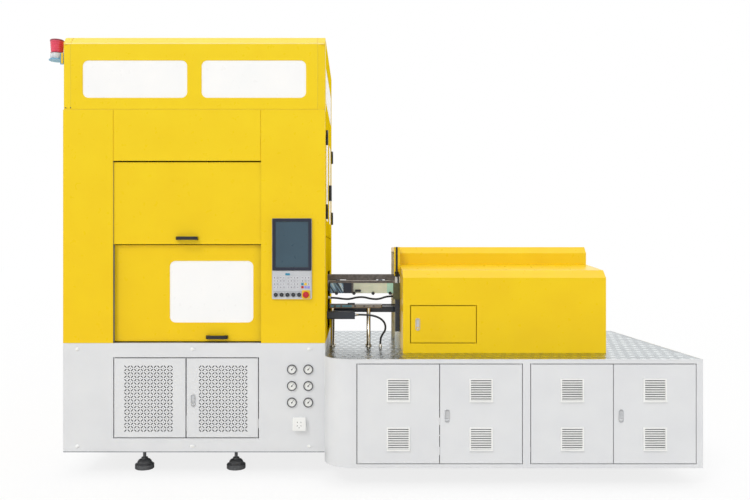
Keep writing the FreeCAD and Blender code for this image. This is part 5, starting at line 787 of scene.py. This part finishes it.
def control_pieces():
    """Operator's panel: pale housing, navy bezel round the screen, film with printed keys, rings and plates."""
    housing = merged("control_panel")
    for solid in islands(housing):
        xs, zs = [v.co.x for v in solid], [v.co.z for v in solid]
        wide, tall = max(xs) - min(xs), max(zs) - min(zs)
        if 0.2 < wide < 0.24 and tall > 0.25:
            mark(solid, 1)
        elif 0.04 < wide < 0.07:
            mark(solid, 2)
    take_out(housing, (-0.6, -0.63, 1.23), (-0.34, -0.62, 1.345))
    dressed_copy("control_housing", housing, "control_paint", "screen_glass", "stop_yellow", body="root",
                 stands_for="control_panel")
    x0, x1, z0, z1 = PANEL
    bezel = Piece("screen_bezel", "navy_bezel", slot="navy_paint")
    bezel.add(ring((x0 + 0.002, x1 - 0.002), (PANEL_FRONT - 0.004, PANEL_FRONT + 0.003), (1.361, z1 - 0.001),
                   0.0185, edge=0.0012))
    bezel.done()
    seal = Piece("screen_seal", "black_plastic")
    seal.add(ring((x0 + 0.0195, x1 - 0.0195), (PANEL_FRONT - 0.0022, PANEL_FRONT), (1.3785, z1 - 0.0185),
                  0.0025, 0.003))
    seal.done()
    film = Piece("key_film", "control_paint")
    film.add(pad((x0 + 0.005, PANEL_FRONT - 0.0008, 1.224), (x1 - 0.005, PANEL_FRONT + 0.0004, 1.357), 0.004))
    film.done()
    keys = Piece("membrane_keys", "key_pale", "key_grey", "key_teal", "key_lilac", "stop_red", "stop_yellow",
                 slot="control_paint")
    cap = pad((-0.0078, -0.0016, -0.0078), (0.0078, 0, 0.0078), 0.002, 0.0004, steps=3)
    marks = [block((-0.0052, -0.0019, -0.0024), (0.0052, -0.0015, 0.0024)),
             block((-0.0022, -0.0019, -0.0052), (0.0022, -0.0015, 0.0052)),
             turned([(0, 0.0015), (0.0046, 0.0015), (0.0046, 0.0019), (0, 0.0019)], (0, 0, 0), TO_FRONT, 16),
             ring((-0.0052, 0.0052), (-0.0019, -0.0015), (-0.0052, 0.0052), 0.0024)]
    accents = {(2, 0, 0): 4, (2, 1, 0): 3, (2, 2, 0): 3, (2, 1, 1): 5, (2, 0, 1): 2}
    front = PANEL_FRONT - 0.0008
    for group, (left, columns) in enumerate(((-0.584, 4), (-0.4935, 4), (-0.4005, 3))):
        for i in range(columns):
            for j in range(4):
                at = spot(left + 0.0205 * i, front, 1.2505 + 0.0208 * j)
                number = accents.get((group, i, j), 0)
                keys.add(cap, number, at)
                if not number:
                    keys.add(marks[(i + 2 * j + group) % 4], 1, at)
    keys.add(pad((-0.513, front - 0.0014, 1.3285), (-0.483, front, 1.3425), 0.003, 0.0004), 2)
    keys.done()
    rings = Piece("button_rings", "lock_zinc")
    for x in BUTTONS_X:
        rings.add(turned([(0.0137, 0), (0.0165, 0), (0.0165, 0.001), (0.0155, 0.002), (0.0137, 0.002),
                          (0.0137, 0)],
                         (x, PANEL_FRONT, BUTTON_Z), TO_FRONT, 32))
    rings.done()
    stop_plate = Piece("stop_plate", "stop_yellow", slot="yellow_enamel")
    stop_plate.add(pad((STOP_X - 0.027, PANEL_FRONT - 0.0012, BUTTON_Z - 0.0265),
                       (STOP_X + 0.027, PANEL_FRONT + 0.0004, BUTTON_Z + 0.03), 0.006))
    stop_plate.done()
    for i, x in enumerate(BUTTONS_X, start=1):
        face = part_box(f"push_button_{i}")[0].y
        lens = Piece(f"push_button_{i}_lens", "gauge_steel", body=f"push_button_{i}")
        lens.add(turned([(0.0052, -0.0004), (0.0052, 0.0004), (0.003, 0.0008), (0, 0.0009)],
                        (x, face, BUTTON_Z), TO_FRONT, 20))
        lens.done()
    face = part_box("emergency_stop")[0].y
    arrows = Piece("emergency_stop_ring", "beacon_red_dark", body="emergency_stop", slot="stop_red")
    arrows.add(turned([(0.0188, -0.0085), (0.0206, -0.0085), (0.0206, -0.013), (0.0188, -0.013),
                       (0.0188, -0.0085)],
                      (STOP_X, face, BUTTON_Z), TO_FRONT, 40))
    arrows.done()


# ---------------------------------------------------------------- low cabinet
DOORS_X = [(-0.04, 0.474), (0.479, 0.993), (1.05, 1.564), (1.569, 2.083)]
LOUVRE_W, LOUVRE_H, SLATS = 0.146, 0.148, 9
LOUVRE_FEET = (0.235, 0.540)


def louvre():
    """Parts of one louvre panel with its foot at z 0 and its back at y 0: rim, lower lip, a dark back of painted
    shade in the gaps, and slats.
    """
    parts = []
    half = LOUVRE_W / 2
    parts.append((ring((-half, half), (-0.0085, 0), (0, LOUVRE_H), 0.009, edge=0.0012), 0))
    parts.append((drawn([(-0.0085, 0.001), (-0.013, 0.0025), (-0.013, 0.0095), (-0.0085, 0.0105)], -half,
                        half), 0))
    parts.append((block((-half + 0.008, -0.0006, 0.008), (half - 0.008, 0.0, LOUVRE_H - 0.008)), 1))
    pitch = (LOUVRE_H - 0.0195) / SLATS
    for i in range(SLATS):
        z = 0.0105 + i * pitch
        parts.append((drawn([(-0.0072, z), (-0.0078, z + 0.0012), (-0.0015, z + 0.0082),
                             (-0.0009, z + 0.007)],
                            -half + 0.0085, half - 0.0085), 0))
    return parts


def cabinet_pieces():
    """Cabinet doors as copies of their nodes, with finer louvre panels in place of the solid ones."""
    parts = louvre()
    for number, (x0, x1) in enumerate(DOORS_X, start=1):
        name, middle = f"cabinet_door_{number}", (x0 + x1) / 2
        leaf = merged(name)
        for foot in LOUVRE_FEET:
            take_out(leaf, (middle - 0.074, -0.873, foot - 0.001),
                     (middle + 0.074, -0.854, foot + LOUVRE_H + 0.001))
        for solid in islands(leaf):
            if wholly(solid, (x0, -0.87, 0.4), (x0 + 0.1, -0.83, 0.51)):
                mark(solid, 1)
        dressed_copy(f"{name}_leaf", leaf, "grey_enamel", "lock_zinc", body=name, stands_for=name)
        vents = Piece(f"{name}_louvres", "white_plastic", "louvre_gap_shade", body=name)
        for foot in LOUVRE_FEET:
            for part, material in parts:
                vents.add(part, material, spot(middle, CABINET_FRONT, foot))
        vents.done()


def lock_pieces():
    """Raised pill-shaped bezels and round release buttons on the four flush locks."""
    places = [("grille_door_right", -1.1225, TOWER_FRONT, 0.502),
              ("cabinet_door_2", 0.524, CABINET_FRONT, 0.454),
              ("cabinet_door_4", 1.614, CABINET_FRONT, 0.454), ("cover_hatch", 0.363, COVER_FRONT, 1.0)]
    for body, x, front, z in places:
        bezel = Piece(f"{body}_lock_bezel", "lock_zinc", body=body)
        bezel.add(ring((x - 0.0155, x + 0.0155), (front - 0.0052, front - 0.002), (z - 0.0415, z + 0.0415),
                       0.0042, 0.0148, 0.0012))
        bezel.add(turned([(0, 0), (0.0062, 0), (0.0062, 0.0052), (0.005, 0.0068), (0, 0.0074)],
                         (x, front - 0.0015, z - 0.029), TO_FRONT, 28))
        bezel.done()


# the tread pattern: steps along and across the deck, the height of a lozenge, and its lean in degrees
PITCH, ROW, TREAD_HEIGHT, TREAD_LEAN = 0.062, 0.112, 0.0015, 4


def deck_pieces():
    """Lozenges rolled into the deck: every second row is shifted half a pitch and leans the other way.

    They are drawn several times coarser than on a real tread plate, which is too fine to show here. The last
    row reaches 7 mm past the deck's rear edge, and so past the box of the CAD model.
    """
    lozenge = bmesh.new()
    outline = [(0.02, 0), (0.012, 0.022), (-0.012, 0.022), (-0.02, 0), (-0.012, -0.022), (0.012, -0.022)]
    face = lozenge.faces.new([lozenge.verts.new((x, y, 0)) for x, y in outline])
    top = bmesh.ops.extrude_face_region(lozenge, geom=[face])["geom"]
    raised = corners_of(top)
    bmesh.ops.translate(lozenge, vec=(0, 0, TREAD_HEIGHT), verts=raised)
    bmesh.ops.scale(lozenge, vec=(0.68, 0.45, 1), verts=raised)
    bmesh.ops.recalc_face_normals(lozenge, faces=lozenge.faces)
    leaned = [lozenge.copy(), lozenge.copy()]
    for mesh, lean in zip(leaned, (TREAD_LEAN, -TREAD_LEAN)):
        mesh.transform(Matrix.Rotation(math.radians(lean), 4, "Z"))
    # the lozenges' bright steel is partly wear and partly painted highlight
    tread = Piece("deck_lozenges", "worn_and_highlight_steel", slot="chequer_steel")
    x0, x1, y0, y1 = -0.252, 2.128, -0.859, 0.871
    corner = Vector((x0 + 0.19, y0 + 0.19))
    for j in range(int((y1 - y0 - 0.05) / ROW) + 1):
        for i in range(int((x1 - x0 - 0.06) / PITCH) + 1):
            x, y = x0 + 0.035 + (i + (j % 2) / 2) * PITCH, y0 + 0.034 + j * ROW
            under_covers = 0.25 < x < 1.634 and -0.58 < y < 0.34
            off_corner = x < corner.x and y < corner.y and (Vector((x, y)) - corner).length > 0.165
            if not (under_covers or off_corner or x > x1 - 0.03):
                tread.add(leaned[j % 2], at=spot(x, y, DECK_TOP))
    tread.done(sharp=20)
    rim = Piece("deck_rim", "grey_enamel")
    rim.add(block((x0 + 0.19, y0 - 0.0005, 0.8025), (x1, y0 + 0.0035, 0.8095), 0.0012))
    rim.add(block((x1 - 0.0035, y0, 0.8025), (x1, y1, 0.8095), 0.0012))
    arc = turned([(0.1865, 0), (0.1905, 0), (0.1905, 0.007), (0.1865, 0.007), (0.1865, 0)],
                 (corner.x, corner.y, 0.8025), UP, 96)
    for away in ((1, 0, 0), (0, 1, 0)):
        bmesh.ops.bisect_plane(arc, geom=whole(arc),
                               plane_co=(corner.x, corner.y, 0), plane_no=away, clear_outer=True)
    rim.add(arc)
    rim.done()


# ---------------------------------------------------------------- between the tower and the covers
def injection_base_piece():
    """Beams, valve box and upright frame: a copy of the node with the finishes that the photo shows."""
    mesh = merged("injection_base")
    for level in (1.323, 0.915, 1.308, 1.262):
        slice_at(mesh, 2, level)
    paint(mesh, 1, (0.225, -0.215, 1.323), (0.27, -0.17, 1.52))
    paint(mesh, 2, (0.225, -0.215, 1.262), (0.27, -0.17, 1.308))
    paint(mesh, 1, (0.225, -0.215, 1.483), (0.27, 0.4, 1.52))
    paint(mesh, 2, (0.225, 0.35, 0.8), (0.27, 0.4, 1.484))
    # the post's foot in the same bright steel with painted highlight, so that it blends into the deck
    paint(mesh, 5, (0.225, -0.215, 0.8), (0.27, -0.17, 0.916))
    paint(mesh, 3, (-0.253, -0.186, 1.275), (0.2306, -0.14, 1.33))
    paint(mesh, 4, (-0.06, -0.28, 1.02), (-0.03, -0.22, 1.06))
    paint(mesh, 4, (0.1, -0.28, 0.8075), (0.15, -0.22, 0.835))
    dressed_copy("injection_beams", mesh, "navy_paint", "yellow_enamel", "pane_pale", "bar_steel",
                 "lock_zinc",
                 "worn_and_highlight_steel", body="root", stands_for="injection_base")


def cover_piece():
    """The covers of the injection unit, whose end face towards the tower has a paler yellow of painted
    highlight.
    """
    covers = merged("injection_covers")
    for face in covers.faces:
        if face.calc_center_median().x < 0.2415:
            face.material_index = 1
    dressed_copy("injection_cover_sheets", covers, "yellow_enamel", "yellow_painted_highlight", body="root",
                 stands_for="injection_covers")


def portal_pieces():
    """Yellow edge strips, the thin black rod with its knob, and the smoked block on the upright frame, whose
    dark olive is partly painted shade.
    """
    strips = Piece("portal_edge_strips", "yellow_enamel")
    strips.add(block((0.2236, -0.214, 1.312), (0.2345, -0.206, 1.517), 0.001))
    strips.add(block((0.2485, -0.214, 1.36), (0.2646, -0.206, 1.517), 0.001))
    strips.done()
    rods = Piece("portal_rod", "black_plastic", "navy_paint")
    rods.add(block((0.2345, -0.218, 1.34), (0.2485, -0.2085, 1.5185), 0.002))
    rods.add(turned([(0, 0), (0.006, 0), (0.0105, 0.004), (0.0105, 0.024), (0.0125, 0.028), (0.0125, 0.036),
                     (0.006, 0.04), (0, 0.04)], (0.2405, -0.222, 1.306), UP, 24))
    rods.add(block((0.2465, -0.216, 1.25), (0.2575, -0.2085, 1.34), 0.002), 1)
    rods.done()
    smoked = Piece("portal_smoked_shade_block", "smoked_olive_shade", slot="clear_sheet")
    smoked.add(pad((0.2155, -0.2245, 1.145), (0.2655, -0.209, 1.262), 0.004, 0.001))
    smoked.done()


# pixel columns of the guard's knobs in the photo, and what turns them into metres
KNOB_COLUMNS, MIDDLE_COLUMN = (336.5, 354, 373, 390), 356
GUARD_DISTANCE, FOCAL_PIXELS = 5.39, 757.6


def guard_pieces():
    """The nozzle guard: tinted panes with a mullion and a rail, and four black knobs on its lower edge."""
    x0, x1, front = -0.24, 0.2185, -0.235
    guard = Piece("nozzle_guard_sash", "bar_steel", "black_plastic", "lock_zinc", body="nozzle_guard",
                  slot="tool_steel", stands_for=["nozzle_guard"])
    guard.add(block((x0, front + 0.008, 1.262), (x1, front + 0.02, 1.279), 0.0015))
    guard.add(block((-0.0795, front + 0.006, 1.187), (-0.0665, front + 0.02, 1.27), 0.0015))
    guard.add(block((x0, front + 0.008, 1.187), (x0 + 0.01, front + 0.02, 1.27), 0.0015), 1)
    for low, high in ((x0 + 0.06, x0 + 0.121), (x1 - 0.121, x1 - 0.06)):
        guard.add(pin(0.006, 0.061, (low, -0.185, 1.28), TO_RIGHT, 16), 2)
    for column in KNOB_COLUMNS:
        x = (column - MIDDLE_COLUMN) * GUARD_DISTANCE / FOCAL_PIXELS + CAMERA_AT[0]
        guard.add(turned([(0, 0), (0.0045, 0), (0.0045, 0.006), (0.0095, 0.008), (0.0115, 0.011),
                          (0.0115, 0.018),
                          (0.0085, 0.022), (0, 0.0225)], (x, front + 0.014, 1.189), TO_FRONT, 24), 1)
    guard.add(pad((-0.0555, front - 0.004, 1.2), (-0.0135, front + 0.012, 1.216), 0.006, 0.001), 1)
    guard.done()
    # the left pane carries painted reflections
    for name, material, low, high in (("left", "pane_painted_reflections", x0 + 0.006, -0.1385),
                                      ("middle", "navy_bezel", -0.1385, -0.0745),
                                      ("right", "pane_green", -0.0715, 0.172),
                                      ("edge", "pane_teal", 0.172, x1)):
        pane = Piece(f"nozzle_guard_pane_{name}", material, body="nozzle_guard", slot="clear_sheet")
        pane.add(pad((low, front + 0.011, 1.189), (high, front + 0.016, 1.272), 0.003))
        pane.done()


def purge_pieces():
    """The purge table: worn steel top, masking film and notches on its front edge, polished tube legs."""
    mesh = merged("purge_table")
    slice_at(mesh, 2, 1.0815)
    paint(mesh, 1, (-0.26, -0.23, 1.0815), (0.16, -0.06, 1.11))
    dressed_copy("purge_table_welded", mesh, "polished_tube", "table_beige", body="root",
                 stands_for="purge_table", slot="tool_steel")
    edge = Piece("purge_table_edge", "table_blue", "bar_steel", "table_edge", slot="tool_steel")
    edge.add(block((-0.229, -0.2115, 1.0885), (-0.078, -0.2085, 1.1045), 0.0008))
    edge.add(block((-0.24, -0.2115, 1.0825), (0.128, -0.2085, 1.0885), 0.0008), 2)
    for x in (-0.205, -0.16, -0.062, 0.004, 0.07):
        edge.add(block((x, -0.2125, 1.0895), (x + 0.014, -0.2095, 1.103), 0.0008), 1)
    edge.done()
    tool = Piece("purge_table_scraper", "black_plastic")
    tool.add(pad((-0.235, -0.196, 1.106), (-0.1, -0.188, 1.1105), 0.002, 0.0006, along=2))
    tool.add(pad((-0.108, -0.2, 1.106), (-0.056, -0.184, 1.1185), 0.004, 0.001, along=2))
    tool.done()


# ---------------------------------------------------------------- making
PIECES = [
    hood_pieces, base_screws, right_side, beacon_pieces, grille_pieces, gauge_pieces, socket_pieces,
    control_pieces, cabinet_pieces, lock_pieces, deck_pieces, injection_base_piece, cover_piece,
    portal_pieces, guard_pieces, purge_pieces,
]
for make in PIECES:
    make()

# ---------------------------------------------------------------- floor, light, backdrop
FLOOR_GLOW = 0.82
DAYLIGHT, OVERHEAD = 0.74, 3.0
FLOOR_CORNERS = ((-30, -12), (30, -12), (30, 60), (-30, 60))
# plain white studio floor: the camera sees most of it at full white, and it keeps the machine's shadow
ground = Finish(bpy.data.materials.new("studio floor")).set(Base_Color="#ffffff", Roughness=0.9)
seen = ground.add("ShaderNodeLightPath").outputs["Is Camera Ray"]
share = ground.add("ShaderNodeMath", {"operation": "MULTIPLY"}, _0=seen, _1=FLOOR_GLOW)
glow = ground.add("ShaderNodeEmission", Color=(1, 1, 1, 1), Strength=1.0)
mix = ground.add("ShaderNodeMixShader", _0=share.outputs[0], _1=ground.shader.outputs[0], _2=glow.outputs[0])
ground.feed(ground.tree.nodes["Material Output"], "Surface", mix.outputs[0])
plane = bmesh.new()
plane.faces.new([plane.verts.new((x, y, 0)) for x, y in FLOOR_CORNERS])
floor_mesh = bpy.data.meshes.new("studio_floor")
plane.to_mesh(floor_mesh)
plane.free()
floor = bpy.data.objects.new("studio_floor", floor_mesh)
scene.collection.objects.link(floor)
floor.data.materials.append(ground.owner)

scene.world = bpy.data.worlds.new("studio")
sky = Finish(scene.world, "Background")
path = sky.add("ShaderNodeLightPath").outputs
height = sky.add("ShaderNodeSeparateXYZ",
                 Vector=sky.add("ShaderNodeTexCoord").outputs["Generated"]).outputs["Z"]
# the overhead softbox shows only in reflections: 1 at the horizon, OVERHEAD straight up
overhead = between(sky, height, 1.0, OVERHEAD, 0.25, 0.8)
plain = sky.add("ShaderNodeMath", {"operation": "MAXIMUM"}, _0=path["Is Camera Ray"],
                _1=path["Is Transmission Ray"])
level = sky.add("ShaderNodeMix", {"data_type": "FLOAT"}, _0=plain.outputs[0], _2=DAYLIGHT, _3=1.0).outputs[0]
level = sky.add("ShaderNodeMix", {"data_type": "FLOAT"}, _0=path["Is Glossy Ray"], _2=level,
                _3=overhead).outputs[0]
sky.set(Color=(1, 1, 1, 1), Strength=level)

sun_data = bpy.data.lights.new("soft_key", "SUN")
sun_data.energy = 0.8
sun_data.angle = math.radians(16)
sun = bpy.data.objects.new("soft_key", sun_data)
sun.rotation_euler = Vector((-0.4, -0.62, 0.67)).to_track_quat("Z", "Y").to_euler()
scene.collection.objects.link(sun)

scene.view_settings.view_transform = "Standard"
